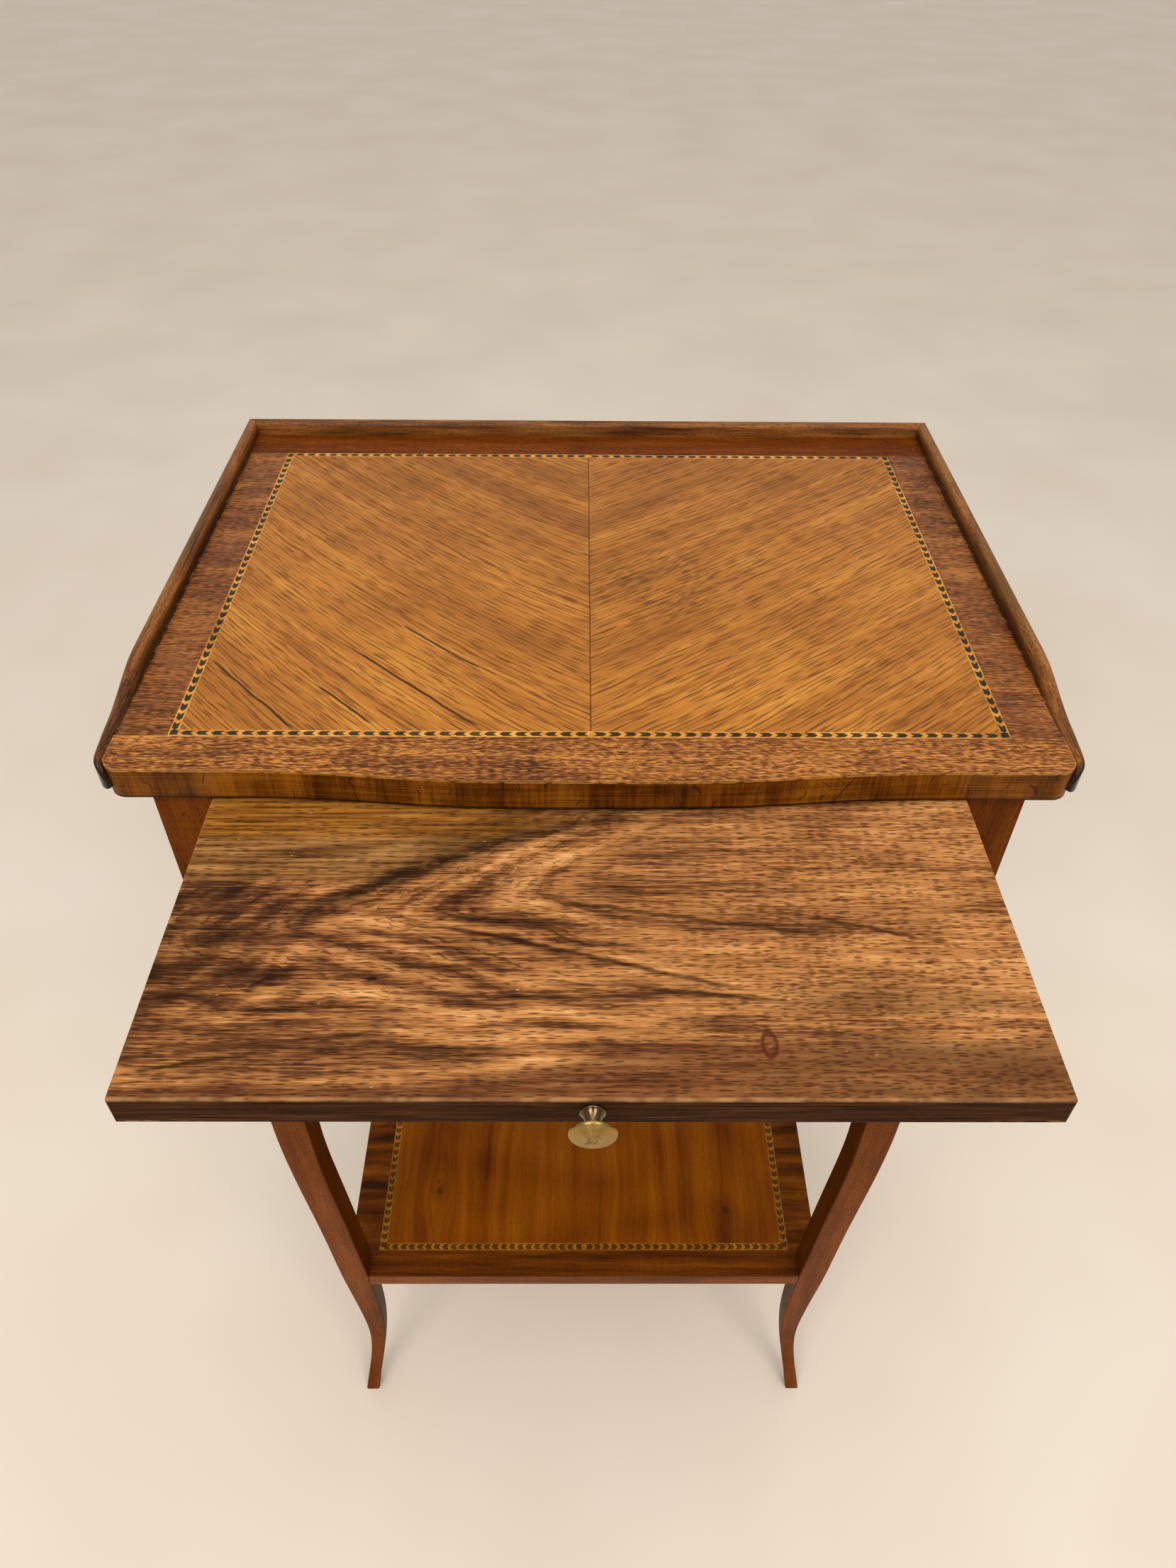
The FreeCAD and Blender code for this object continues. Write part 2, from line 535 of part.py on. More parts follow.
def drawer(name, floor):
    """A drawer whose sides rest at the height floor."""
    half = POST_INNER - DRAWER_GAP
    inner = half - DRAWER_SIDE
    y0 = RAIL_FRONT
    y1 = y0 + DRAWER_FRONT
    y3 = y0 + DRAWER_LENGTH
    y2 = y3 - DRAWER_SIDE
    top = floor + DRAWER_SIDE_HEIGHT
    bottom_low = floor + DRAWER_BOTTOM_RISE
    bottom_high = bottom_low + DRAWER_BOTTOM
    knob_z = floor + DRAWER_OPENING / 2
    bottom = block(-inner - GROOVE, inner + GROOVE, y1 - GROOVE, y3, bottom_low, bottom_high)
    joints = tails(y1, y0 + LAP, inner, half, bottom_high + TAIL_CLEAR, top)
    joints += tails(y2, y3, inner, half, bottom_high + TAIL_CLEAR, top)
    side = block(inner, half, y1, y2, floor, top).fuse(joints)
    side = side.fuse(block(inner, half, y2, y3, floor, bottom_high)).removeSplitter()
    cutters = joints + [mirror_x(tail) for tail in joints] + [bottom]
    front = block(-half, half, y0, y1, floor + DRAWER_GAP / 2, floor + DRAWER_OPENING - DRAWER_GAP)
    back = block(-half, half, y2, y3, bottom_high, top - DRAWER_BACK_DROP)
    nodes = {name + "_drawer_front": front.cut(cutters + [shank_hole(y0, knob_z)]),
             name + "_drawer_back": back.cut(cutters),
             name + "_drawer_bottom": bottom,
             name + "_drawer_knob": knob(y0, knob_z)}
    for way, shape in both_sides(side.cut(bottom)).items():
        nodes[name + "_drawer_side_" + way] = shape
    return nodes


# --- shelf -------------------------------------------------------------------------------------
def shelf(leg_shapes, dowels):
    """The lower shelf and its veneers, notched round the legs."""
    x = SHELF_HALF - SHELF_BORDER_SIDE
    y0 = SHELF_FRONT + SHELF_BORDER_END
    y1 = SHELF_BACK - SHELF_BORDER_END
    z0 = SHELF_CORE_TOP
    z1 = SHELF_HEIGHT
    core = block(-SHELF_HALF, SHELF_HALF, SHELF_FRONT, SHELF_BACK, SHELF_UNDER, z0)
    border_front = block(-SHELF_HALF, SHELF_HALF, SHELF_FRONT, y0, z0, z1)
    border_back = block(-SHELF_HALF, SHELF_HALF, y1, SHELF_BACK, z0, z1)
    nodes = {"shelf_board": core.cut(leg_shapes).cut(dowels),
             "shelf_border_front": border_front.cut(leg_shapes),
             "shelf_border_back": border_back.cut(leg_shapes),
             "shelf_veneer": block(-x + SHELF_STRINGING, x - SHELF_STRINGING,
                                   y0 + SHELF_STRINGING, y1 - SHELF_STRINGING, z0, z1)}
    for side, shape in both_sides(block(x, SHELF_HALF, y0, y1, z0, z1)).items():
        nodes["shelf_border_" + side] = shape.cut(leg_shapes)
    for side, shape in frame_strips(x, y0, y1, SHELF_STRINGING, z0, z1).items():
        nodes["shelf_stringing_" + side] = shape
    return nodes


def build():
    nodes = {}
    screws = top_screws()
    screw_holes = top_screws(PILOT_CLEARANCE)
    dowels = shelf_dowels()
    dowel_holes = shelf_dowels(PILOT_CLEARANCE)

    strip = top_front_edge()
    nodes["top_front_edge"] = strip
    nodes["top_board"] = top_board(strip, screw_holes)
    nodes.update(top_veneers())
    for side, shape in both_sides(gallery_side()).items():
        nodes["gallery_" + side] = shape
    nodes["gallery_back"] = gallery_back()

    for side, shape in both_sides(side_panel()).items():
        nodes["side_panel_" + side] = shape
    nodes["back_panel"] = back_panel()
    nodes["slide_rail"] = front_rail(SLIDE_UNDER, RAIL_HEIGHT)
    nodes["drawer_divider"] = front_rail(UPPER_FLOOR, RAIL_HEIGHT)
    nodes["bottom_rail"] = front_rail(LOWER_FLOOR, BOTTOM_RAIL_HEIGHT)
    tenoned = [nodes[name] for name in ("side_panel_right", "side_panel_left", "back_panel",
                                        "slide_rail", "drawer_divider", "bottom_rail")]
    leg_nodes = legs(tenoned, dowel_holes)
    nodes.update(leg_nodes)

    for way, shape in both_sides(runner(SLIDE_UNDER, TOP_UNDER - SLIDE_UNDER)).items():
        nodes["slide_runner_" + way] = shape.cut(screw_holes)
    for name, floor in (("upper", UPPER_FLOOR), ("lower", LOWER_FLOOR)):
        for way, shape in both_sides(runner(floor, GUIDE_HEIGHT)).items():
            nodes[name + "_drawer_runner_" + way] = shape
        nodes.update(drawer(name, floor))
    nodes.update(slide())
    nodes.update(shelf(list(leg_nodes.values()), dowel_holes))
    nodes["top_screws"] = screws
    nodes["shelf_dowels"] = dowels
    return nodes


os.makedirs("parts", exist_ok=True)
for node_name, node_shape in build().items():
    print(node_name, len(node_shape.Solids), round(node_shape.Volume), node_shape.isValid())
    node_shape.exportStep("parts/" + node_name + ".step")
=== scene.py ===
import math

import bmesh
import bpy
from mathutils import Matrix, Vector

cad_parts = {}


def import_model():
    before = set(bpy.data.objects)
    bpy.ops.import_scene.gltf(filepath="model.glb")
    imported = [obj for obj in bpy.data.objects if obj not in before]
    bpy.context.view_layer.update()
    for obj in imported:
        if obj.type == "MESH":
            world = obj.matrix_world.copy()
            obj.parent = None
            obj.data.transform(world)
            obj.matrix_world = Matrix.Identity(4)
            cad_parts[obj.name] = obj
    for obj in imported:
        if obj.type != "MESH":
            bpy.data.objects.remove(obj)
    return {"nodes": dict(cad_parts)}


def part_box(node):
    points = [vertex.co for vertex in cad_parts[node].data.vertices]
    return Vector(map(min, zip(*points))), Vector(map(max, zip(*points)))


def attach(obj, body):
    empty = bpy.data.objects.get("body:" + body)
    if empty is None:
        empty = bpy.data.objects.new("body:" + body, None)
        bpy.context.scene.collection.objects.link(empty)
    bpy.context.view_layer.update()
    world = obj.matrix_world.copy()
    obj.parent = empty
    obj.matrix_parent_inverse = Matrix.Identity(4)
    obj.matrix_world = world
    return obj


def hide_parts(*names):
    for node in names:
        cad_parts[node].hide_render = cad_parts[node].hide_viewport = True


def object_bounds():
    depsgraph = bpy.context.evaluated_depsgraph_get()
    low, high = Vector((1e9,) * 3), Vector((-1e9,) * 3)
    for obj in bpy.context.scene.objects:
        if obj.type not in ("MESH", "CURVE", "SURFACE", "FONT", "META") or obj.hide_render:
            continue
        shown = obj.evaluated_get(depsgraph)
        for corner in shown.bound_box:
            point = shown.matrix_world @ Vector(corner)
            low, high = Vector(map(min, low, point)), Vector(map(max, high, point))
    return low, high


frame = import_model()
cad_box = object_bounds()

MM = 0.001
NODES = frame["nodes"]


# --- materials: numbers and colours that vary over a surface ------------------------------------
def tone(red, green, blue):
    """A display colour as a linear one."""
    linear = []
    for channel in (red, green, blue):
        share = channel / 255
        linear.append(share / 12.92 if share <= 0.04045 else ((share + 0.055) / 1.055) ** 2.4)
    return (linear[0], linear[1], linear[2], 1.0)


class Value:
    """A number that varies over a surface. Arithmetic on it makes Math nodes."""

    def __init__(self, graph, socket):
        self.graph = graph
        self.socket = socket

    def __add__(self, other):
        return self.graph.math("ADD", self, other)

    def __radd__(self, other):
        return self.graph.math("ADD", other, self)

    def __sub__(self, other):
        return self.graph.math("SUBTRACT", self, other)

    def __rsub__(self, other):
        return self.graph.math("SUBTRACT", other, self)

    def __mul__(self, other):
        return self.graph.math("MULTIPLY", self, other)

    def __rmul__(self, other):
        return self.graph.math("MULTIPLY", other, self)

    def __truediv__(self, other):
        return self.graph.math("DIVIDE", self, other)

    def __neg__(self):
        return self.graph.math("MULTIPLY", self, -1.0)

    def __abs__(self):
        return self.graph.math("ABSOLUTE", self)


class Graph:
    """A material in the making. x, y and z are a point's place in the row frame, in millimetres."""

    def __init__(self, name):
        self.material = bpy.data.materials.new(name)
        self.material.use_nodes = True
        self.tree = self.material.node_tree
        self.tree.nodes.clear()
        place = self.add("ShaderNodeTexCoord").outputs["Object"]
        parts = self.add("ShaderNodeSeparateXYZ")
        self.tree.links.new(place, parts.inputs[0])
        self.x, self.y, self.z = [Value(self, output) / MM for output in parts.outputs]

    def add(self, kind, **settings):
        node = self.tree.nodes.new(kind)
        for name, setting in settings.items():
            setattr(node, name, setting)
        return node

    def feed(self, socket, item):
        if isinstance(item, Value):
            self.tree.links.new(item.socket, socket)
        else:
            socket.default_value = item

    def math(self, operation, *items):
        node = self.add("ShaderNodeMath", operation=operation)
        for socket, item in zip(node.inputs, items):
            self.feed(socket, item)
        return Value(self, node.outputs[0])

    def larger(self, a, b):
        return self.math("MAXIMUM", a, b)

    def step(self, value, low, high):
        """0 at low, 1 at high and smooth between; low may be the larger."""
        node = self.add("ShaderNodeMapRange", interpolation_type="SMOOTHSTEP")
        for name, item in (("Value", value), ("From Min", low), ("From Max", high)):
            self.feed(node.inputs[name], item)
        return Value(self, node.outputs[0])

    def point(self, u, v, w):
        node = self.add("ShaderNodeCombineXYZ")
        for socket, item in zip(node.inputs, (u, v, w)):
            self.feed(socket, item)
        return node.outputs[0]

    def noise(self, u, v, w=0.0, detail=2.0, distortion=0.0):
        """Noise about 0.5, with about one feature for every unit of u, v and w."""
        node = self.add("ShaderNodeTexNoise")
        self.tree.links.new(self.point(u, v, w), node.inputs["Vector"])
        node.inputs["Scale"].default_value = 1.0
        node.inputs["Detail"].default_value = detail
        node.inputs["Distortion"].default_value = distortion
        return Value(self, node.outputs[0])

    def cells(self, u, v, w):
        """The distance to scattered points, one for every unit, and a random number for the nearest."""
        node = self.add("ShaderNodeTexVoronoi")
        self.tree.links.new(self.point(u, v, w), node.inputs["Vector"])
        node.inputs["Scale"].default_value = 1.0
        split = self.add("ShaderNodeSeparateColor")
        self.tree.links.new(node.outputs["Color"], split.inputs[0])
        return Value(self, node.outputs["Distance"]), Value(self, split.outputs[0])

    def dashes(self, u, v, w, length, width, share, stretch=1.0):
        """Short marks along u: 1 on a mark. share of the places have one."""
        distance, pick = self.cells(u / length, v / width, w / width)
        mark = self.step(distance, 0.42 * stretch, 0.2 * stretch)
        return mark * self.step(pick, share + 0.01, share - 0.01)

    def combed(self, value, thickness):
        """Thin lines: 1 where a value passes a whole number, 0 at a share of the way to the next."""
        wave = abs(self.math("SINE", value * math.pi))
        return self.step(wave, thickness, thickness * 0.25)

    def ramp(self, value, *stops):
        node = self.add("ShaderNodeValToRGB")
        elements = node.color_ramp.elements
        while len(elements) < len(stops):
            elements.new(0.5)
        for element, (place, colour) in zip(elements, stops):
            element.position = place
        for element, (place, colour) in zip(elements, stops):
            element.color = colour
        self.feed(node.inputs[0], value)
        return Value(self, node.outputs[0])

    def mix(self, share, under, over):
        node = self.add("ShaderNodeMix", data_type="RGBA")
        self.feed(node.inputs[0], share)
        self.feed(node.inputs[6], under)
        self.feed(node.inputs[7], over)
        return Value(self, node.outputs[2])

    def arris(self, radius):
        """1 on a sharp edge, falling to 0 at a radius from it, in millimetres."""
        rounded = self.add("ShaderNodeBevel", samples=4)
        rounded.inputs["Radius"].default_value = radius * MM
        flat = self.add("ShaderNodeNewGeometry")
        dot = self.add("ShaderNodeVectorMath", operation="DOT_PRODUCT")
        self.tree.links.new(rounded.outputs[0], dot.inputs[0])
        self.tree.links.new(flat.outputs["Normal"], dot.inputs[1])
        return self.step(Value(self, dot.outputs["Value"]), 0.985, 0.8)

    def surface(self, colour, roughness, height=None, depth=0.1, **fixed):
        """Ends the material. height counts in depths, in millimetres; fixed are the shader's own sockets."""
        shader = self.add("ShaderNodeBsdfPrincipled")
        self.feed(shader.inputs["Base Color"], colour)
        self.feed(shader.inputs["Roughness"], roughness)
        for name, item in fixed.items():
            shader.inputs[name.replace("_", " ")].default_value = item
        if height is not None:
            relief = self.add("ShaderNodeBump")
            relief.inputs["Distance"].default_value = depth * MM
            self.feed(relief.inputs["Height"], height)
            self.tree.links.new(relief.outputs[0], shader.inputs["Normal"])
        output = self.add("ShaderNodeOutputMaterial")
        self.tree.links.new(shader.outputs[0], output.inputs[0])
        return self.material


# --- woods ----------------------------------------------------------------------------------------
AMBER = (1.0, 0.78, 0.5, 1.0)
VARNISH = {"Coat_Weight": 0.04, "Coat_Roughness": 0.3, "Specular_IOR_Level": 0.2, "Specular_Tint": AMBER}
DULL = {"Coat_Weight": 0.0, "Specular_IOR_Level": 0.09, "Specular_Tint": AMBER}


def along(graph, axis):
    """Coordinates along the grain and across it, for a straight grain along an axis."""
    x, y, z = graph.x, graph.y, graph.z
    return {"x": (x, y, z), "y": (y, x, z), "z": (z, x, y)}[axis]


def grain(graph, u, v, w, band, streak, weights):
    """How light the wood is, about 0.5: broad bands, streaks, fibres and clouds, with fibres along u."""
    parts = (graph.noise(u / (band * 14), v / band, w / band, detail=3),
             graph.noise(u / (streak * 30), v / streak, w / streak),
             graph.noise(u / 10, v / 0.3, w / 0.3, detail=1),
             graph.noise(u / 55, v / 45, w / 45, detail=1))
    light = 0.5
    for weight, part in zip(weights, parts):
        light = light + (part - 0.5) * weight
    return light


def plain_wood(name, axis, tones, band=12, seed=0.0, sway=5.0, roughness=0.38, worn=0.35,
               weights=(0.9, 0.4, 0.25, 0.3), coat=VARNISH, painted_leg_shade=False):
    """Straight-grained wood. tones are dark, middle, light and worn; the legs' option paints shade on a
    leg's inner sides and upper part.
    """
    g = Graph(name)
    u, v, w = along(g, axis)
    v = v + (g.noise(u / 110, v / 40, w / 40 + seed) - 0.5) * sway + seed * 3
    light = grain(g, u, v, w + seed, band, 1.3, weights)
    dark, middle, pale, bare = [tone(*t) for t in tones]
    colour = g.ramp(light, (0.22, dark), (0.5, middle), (0.78, pale))
    pores = g.dashes(u, v, w, 4.5, 0.42, 0.5)
    colour = g.mix(pores * 0.65, colour, tone(*[t * 0.45 for t in tones[0]]))
    patchy = g.step(g.noise(g.x / 9, g.y / 9, g.z / 9), 0.42, 0.6)
    colour = g.mix(g.arris(1.0) * patchy * worn, colour, bare)
    if painted_leg_shade:
        # painted shade: darker on the sides that face inwards, and higher up, where the legs stand in shade
        parts = g.add("ShaderNodeSeparateXYZ")
        g.tree.links.new(g.add("ShaderNodeNewGeometry").outputs["True Normal"], parts.inputs[0])
        inward = g.step(-Value(g, parts.outputs[0]) * g.math("SIGN", g.x), 0.4, 0.8)
        shade = g.larger(inward * 0.6, g.step(g.z, 150, 650) * 0.25)
        colour = g.mix(shade, colour, tone(*[t * 0.6 for t in tones[0]]))
    rough = roughness + (light - 0.5) * -0.15 + pores * 0.25
    height = light * 0.5 - pores
    return g.surface(colour, rough, height, 0.06, **coat)


MAHOGANY = ((59, 21, 2), (107, 44, 7), (133, 61, 13), (168, 99, 32))
LEG = ((66, 29, 2), (112, 55, 7), (138, 73, 13), (168, 99, 30))
DRAWER_FRONT = ((66, 29, 5), (116, 58, 14), (148, 84, 28), (176, 116, 56))
SHELF_CORE = ((62, 26, 2), (112, 54, 8), (138, 74, 15), (170, 104, 40))
LINING = ((120, 84, 48), (164, 124, 78), (186, 148, 100), (196, 168, 128))


# cracks in the left half: place across the grain, then start and end along it, in millimetres
TOP_CRACKS = ((-39.5, 33, 89), (-71.5, 7, 90), (-102.5, 46, 88), (-132, 70, 141))


def centre_veneer(name, side):
    """One of the two book-matched halves of the top: grain slants to the middle line, towards the front."""
    g = Graph(name)
    across = g.x * side
    bend = 0.0022 if side < 0 else 0.0006
    v = (g.y - across * 0.70 - across * across * (bend / 2)) * 0.8
    u = across * 0.8 + g.y * 0.58
    v = v + (g.noise(u / 90, v / 30, 3.0) - 0.5) * 5
    broad = g.noise(u / 340, v / 17, 1.0, detail=3)
    half = 5.0 + side
    narrow = g.noise(u / 120, v / 3.2, half, detail=2)
    fibre = g.noise(u / 12, v / 0.5, half, detail=1)
    cloud = g.noise(g.x / 60, g.y / 50, half, detail=1)
    light = 0.5 + (broad - 0.5) * 0.65 + (narrow - 0.5) * 0.5 + (fibre - 0.5) * 0.5 + (cloud - 0.5) * 0.45
    light = light + g.step(g.y, 100, -60) * 0.06
    colour = g.ramp(light, (0.15, tone(104, 56, 16)), (0.42, tone(150, 91, 30)), (0.6, tone(172, 108, 38)),
                    (0.85, tone(198, 136, 54)))
    path = v / 2.6 + g.noise(u / 150, v / 16, half, detail=2) * 4
    path = path + g.noise(u / 34, v / 6, half + 6, detail=1) * 1.1
    broken = g.step(g.noise(u / 26, v / 2.0, half + 2, detail=2), 0.42, 0.52)
    lines = g.combed(path, 0.6) * broken
    marks = g.dashes(u, v, half, 15.0, 1.1, 0.55, 1.1)
    near_line = g.step(abs(across - 40) / 60 + abs(g.y - 66) / 70, 1.0, 0.3) * (0.5 + 0.4 * side)
    near_line = near_line * g.step(g.noise(u / 30, v / 9, half + 9), 0.32, 0.5)
    flecks = g.dashes(u, v, half + 4, 8.0, 1.15, 0.8, 1.15) * near_line
    colour = g.mix(lines * 0.8, colour, tone(98, 54, 18))
    colour = g.mix(marks * 0.7, colour, tone(82, 44, 15))
    colour = g.mix(flecks * 0.75, colour, tone(50, 30, 15))
    cracks = None
    if side < 0:
        for place, start, end in TOP_CRACKS:
            wobble = (g.noise(u / 14, 2.0, place) - 0.5) * 2.0
            crack = g.step(abs(v - place + wobble), 0.95, 0.35) * g.step(u, start, start + 6)
            crack = crack * g.step(u, end, end - 6) * g.step(g.noise(u / 12, place, 7.0), 0.22, 0.36)
            cracks = crack if cracks is None else g.larger(cracks, crack)
        colour = g.mix(cracks * 0.9, colour, tone(34, 22, 10))
    seam = g.step(g.x * side, 0.55, 0.2)
    colour = g.mix(seam * 0.7, colour, tone(53, 32, 14))
    rough = 0.36 + (0.5 - light) * 0.2 + marks * 0.15
    height = light * 0.4 - lines * 0.4 - marks * 0.8
    if cracks is not None:
        height = height - cracks * 3
    return g.surface(colour, rough, height, 0.05, **VARNISH)


def border_veneer(name, place):
    """Mahogany cross-banding with its grain along X, in every border of the top."""
    g = Graph(name)
    seed = {"front": 1.0, "back": 4.0, "left": 7.0, "right": 11.0}[place]
    u, v = g.x, g.y
    v = v + (g.noise(u / 26, v / 20, seed) - 0.5) * 5
    long_band = place in ("front", "back")
    band = g.noise(u / (130 if long_band else 60), v / (7 if long_band else 13), seed, detail=3)
    streak = g.noise(u / 18, v / 1.0, seed, detail=2)
    ripple = g.noise(u / 3.2 + v / 2.8, v / 0.85, seed, detail=2)
    cloud = g.noise(u / 45, v / 30, seed + 2, detail=1)
    amount = {"front": 1.5, "back": 0.12, "left": 0.75, "right": 0.75}[place]
    light = 0.5 + (band - 0.5) * 0.8 + (streak - 0.5) * 0.95 + (ripple - 0.5) * amount + (cloud - 0.5) * 0.4
    if place == "front":
        tones = ((72, 36, 12), (137, 79, 33), (196, 130, 60))
    elif place == "back":
        tones = ((66, 27, 2), (100, 45, 3), (124, 62, 6))
    else:
        tones = ((64, 33, 15), (127, 72, 30), (172, 110, 54))
    colour = g.ramp(light, (0.2, tone(*tones[0])), (0.5, tone(*tones[1])), (0.8, tone(*tones[2])))
    if place in ("left", "right"):
        purple = g.step(g.noise(u / 90, v / 26, seed + 5, detail=1), 0.5, 0.66)
        colour = g.mix(purple * 0.4, colour, tone(84, 40, 32))
    path = v / 1.9 + g.noise(u / 16, v / 7, seed, detail=2) * 4
    fine = g.combed(path, 0.6) * g.step(g.noise(u / 7, v / 1.3, seed + 4, detail=1), 0.44, 0.58)
    pores = g.dashes(u, v, seed, 5.5, 0.95, 0.8, 1.15)
    bright = g.dashes(u, v, seed + 3, 5.0, 1.0, 0.45, 1.1)
    weak = 0.45 if place == "back" else 1.0
    colour = g.mix(bright * 0.6 * weak, colour, tone(*tones[2]))
    colour = g.mix(fine * 0.6 * weak, colour, tone(*tones[0]))
    colour = g.mix(pores * 0.75 * weak, colour, tone(54, 24, 10))
    if place in ("left", "right"):
        # painted shade: a dark line in the crease along the gallery's foot, with pale dust in it
        low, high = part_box("top_border_" + place)
        crease_shade = g.step(abs(g.x), max(-low.x, high.x) / MM - 1.2, max(-low.x, high.x) / MM - 0.7)
        dust = g.step(g.noise(g.y / 9, 6.0, seed), 0.5, 0.62)
        colour = g.mix(crease_shade * 0.8, colour, tone(32, 13, 4))
        colour = g.mix(crease_shade * dust * 0.3, colour, tone(158, 118, 78))
    if place == "front":
        worn = g.arris(0.8) * g.step(g.noise(u / 7, 3.0), 0.3, 0.5)
        colour = g.mix(worn * 0.75, colour, tone(206, 146, 78))
    rough = 0.4 + (ripple - 0.5) * 0.2 + pores * 0.2
    height = light * 0.5 + (ripple - 0.5) * amount - pores
    return g.surface(colour, rough, height, 0.06, **(DULL if place == "back" else VARNISH))


def edge_wood(name):
    """The brown strip round the top's front edge: upright grain, short cracks, a pale worn arris and painted
    shade along its lower edge.
    """
    g = Graph(name)
    box_low, box_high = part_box("top_front_edge")
    top = box_high.z / MM
    u, v = g.z, g.x
    band = g.noise(u / 60, v / 16, 1.0, detail=3)
    streak = g.noise(u / 30, v / 1.4, 1.0, detail=2)
    level = g.noise(u / 0.8, v / 40, g.y / 20, detail=2)
    light = 0.5 + (band - 0.5) * 1.3 + (streak - 0.5) * 0.5 + (level - 0.5) * 0.7
    colour = g.ramp(light, (0.2, tone(54, 24, 3)), (0.5, tone(98, 52, 8)), (0.8, tone(137, 82, 18)))
    path = v / 9 + g.noise(u / 16, v / 14, 6.0, detail=1) * 2.2
    cracks = g.combed(path, 0.16) * g.step(g.noise(u / 8, v / 12, 9.0, detail=1), 0.48, 0.58)
    colour = g.mix(cracks * 0.8, colour, tone(29, 14, 2))
    slant = g.step(abs(v - 112 - (u - top) * 0.55), 0.8, 0.2)
    colour = g.mix(slant * 0.7, colour, tone(35, 17, 3))
    chipped = g.step(g.noise(v / 5, 4.0), 0.35, 0.55)
    arris = g.step(top - u, 1.1, 0.1) * chipped
    colour = g.mix(arris * 0.75, colour, tone(190, 132, 58))
    # painted shade: the strip's lowest 1.4 mm darken, standing in for the shadow in the gap above the slide
    gap_shade = g.step(u - box_low.z / MM, 1.4, 0.5)
    colour = g.mix(gap_shade * 0.85, colour, tone(16, 8, 2))
    rough = 0.42 + (level - 0.5) * 0.3
    height = level * 0.5 - cracks - slant
    return g.surface(colour, rough, height, 0.08, **DULL)


def gallery_wood(name, axis):
    """Dark walnut rails with pores, painted shade on the side rails' inner faces below the crest, and black
    polished noses at the front.
    """
    g = Graph(name)
    u, v, w = along(g, axis)
    low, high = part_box("gallery_left")
    crest = high.z / MM
    front = low.y / MM
    light = grain(g, u, v, w, 5, 0.9, (0.9, 0.6, 0.3, 0.4))
    colour = g.ramp(light, (0.22, tone(52, 26, 8)), (0.5, tone(112, 65, 26)), (0.78, tone(156, 98, 44)))
    olive = g.step(g.noise(u / 70, v / 6, w / 6 + 3), 0.5, 0.62)
    colour = g.mix(olive * 0.45, colour, tone(122, 86, 33))
    pores = g.dashes(u, v, w, 3.8, 0.45, 0.7)
    colour = g.mix(pores * 0.7, colour, tone(31, 15, 5))
    # painted shade: the side rails darken on their inner faces below the crest, which falls towards the
    # front
    local_crest = crest - g.step(g.y - front, 76, 31) * 7
    painted_foot_shade = g.step(g.z, local_crest - 3.0, local_crest - 6.0)
    if axis == "y":
        painted_foot_shade = painted_foot_shade * g.step(abs(g.x), -low.x / MM - 2.0, -low.x / MM - 4.0)
        colour = g.mix(painted_foot_shade * 0.75, colour, tone(42, 16, 3))
    nose = g.step(g.y - front + g.noise(g.x / 4, g.y / 6, g.z / 4) * 3, 8.0, 5.0)
    if axis == "y":
        colour = g.mix(nose * 0.9, colour, tone(27, 15, 7))
        rough = 0.34 - nose * 0.16 + (light - 0.5) * 0.2
    else:
        rough = 0.34 + (light - 0.5) * 0.2
    height = light * 0.5 - pores
    return g.surface(colour, rough, height, 0.06, Specular_IOR_Level=0.16)


def slide_figure(g, x, y, feather, ragged):
    """How light the slide is, then the wedges' depth, where they are, and where the left swirl is."""
    warp_x = (g.noise(x / 62, y / 30, 1.0, detail=1) - 0.5) * 20
    warp_y = (g.noise(x / 55, y / 26, 5.0, detail=1) - 0.5) * 12
    fine_y = (g.noise(x / 13, y / 6, 9.0, detail=2) - 0.5) * 4.0
    px = x + warp_x + feather * 6 + ragged * 4
    py = y + warp_y + fine_y
    axis = 84 + (px + 70) * 0.2
    off = py - axis
    upper = off / (0.44 + g.step(x, -85, -150) * 0.5)
    lower = -off / 0.46
    arm = g.larger(upper, lower)
    wedge = px - g.math("SQRT", arm * arm + 140.0)
    # bands follow the wedges on the left and run straight on the right
    ring = g.noise(wedge / 19, 2.0, 0.0, detail=2)
    in_wedges = g.step(wedge, 14.0, -60.0) * g.step(y, 26, 56) * g.step(x, 55, -25)
    straight = g.noise(x / 120, py / 8, 3.0, detail=3)
    slanted = (x * 0.66 - y * 0.75 + warp_y * 1.2) / 7.5 + feather * 1.4
    swirl = g.noise(slanted, (x * 0.75 + y * 0.66) / 26, 7.0, detail=3)
    in_swirl = g.step(x, -88, -122) * g.step(y, 18, 44) * g.step(y, 104, 92)
    streak = g.noise(x / 34, y / 1.3, 4.0, detail=2)
    fibre = g.noise(x / 8, y / 0.6, 6.0, detail=1)
    cloud = g.noise(x / 60, y / 34, 8.0, detail=1)
    low_band = g.step(y, 60, 36) * g.step(x, 60, 0)
    body = 0.52 + (straight - 0.5) * (0.65 + low_band * 0.75) + (streak - 0.5) * 0.7
    body = body + (fibre - 0.5) * 0.5 + (cloud - 0.5) * 0.5 + g.step(x, -60, 110) * 0.10 - 0.05
    rings = (ring - 0.5) * (in_wedges * 1.45 * (1.0 - in_swirl) + 0.12)
    rings = rings + (swirl - 0.58) * in_swirl * 1.1
    return body + rings, wedge, in_wedges, in_swirl


# single dark lines on the slide: start in x, place in y, slope, half width, end in x, in millimetres
SLIDE_LINES = ((-24, 89, -0.16, 2.0, 98), (78, 82, -0.26, 1.5, 142), (-62, 77, -0.27, 2.0, 66),
               (4, 48, -0.12, 2.0, 80), (-96, 24, 0.16, 1.6, -60), (-164, 10, 0.17, 1.9, -96))


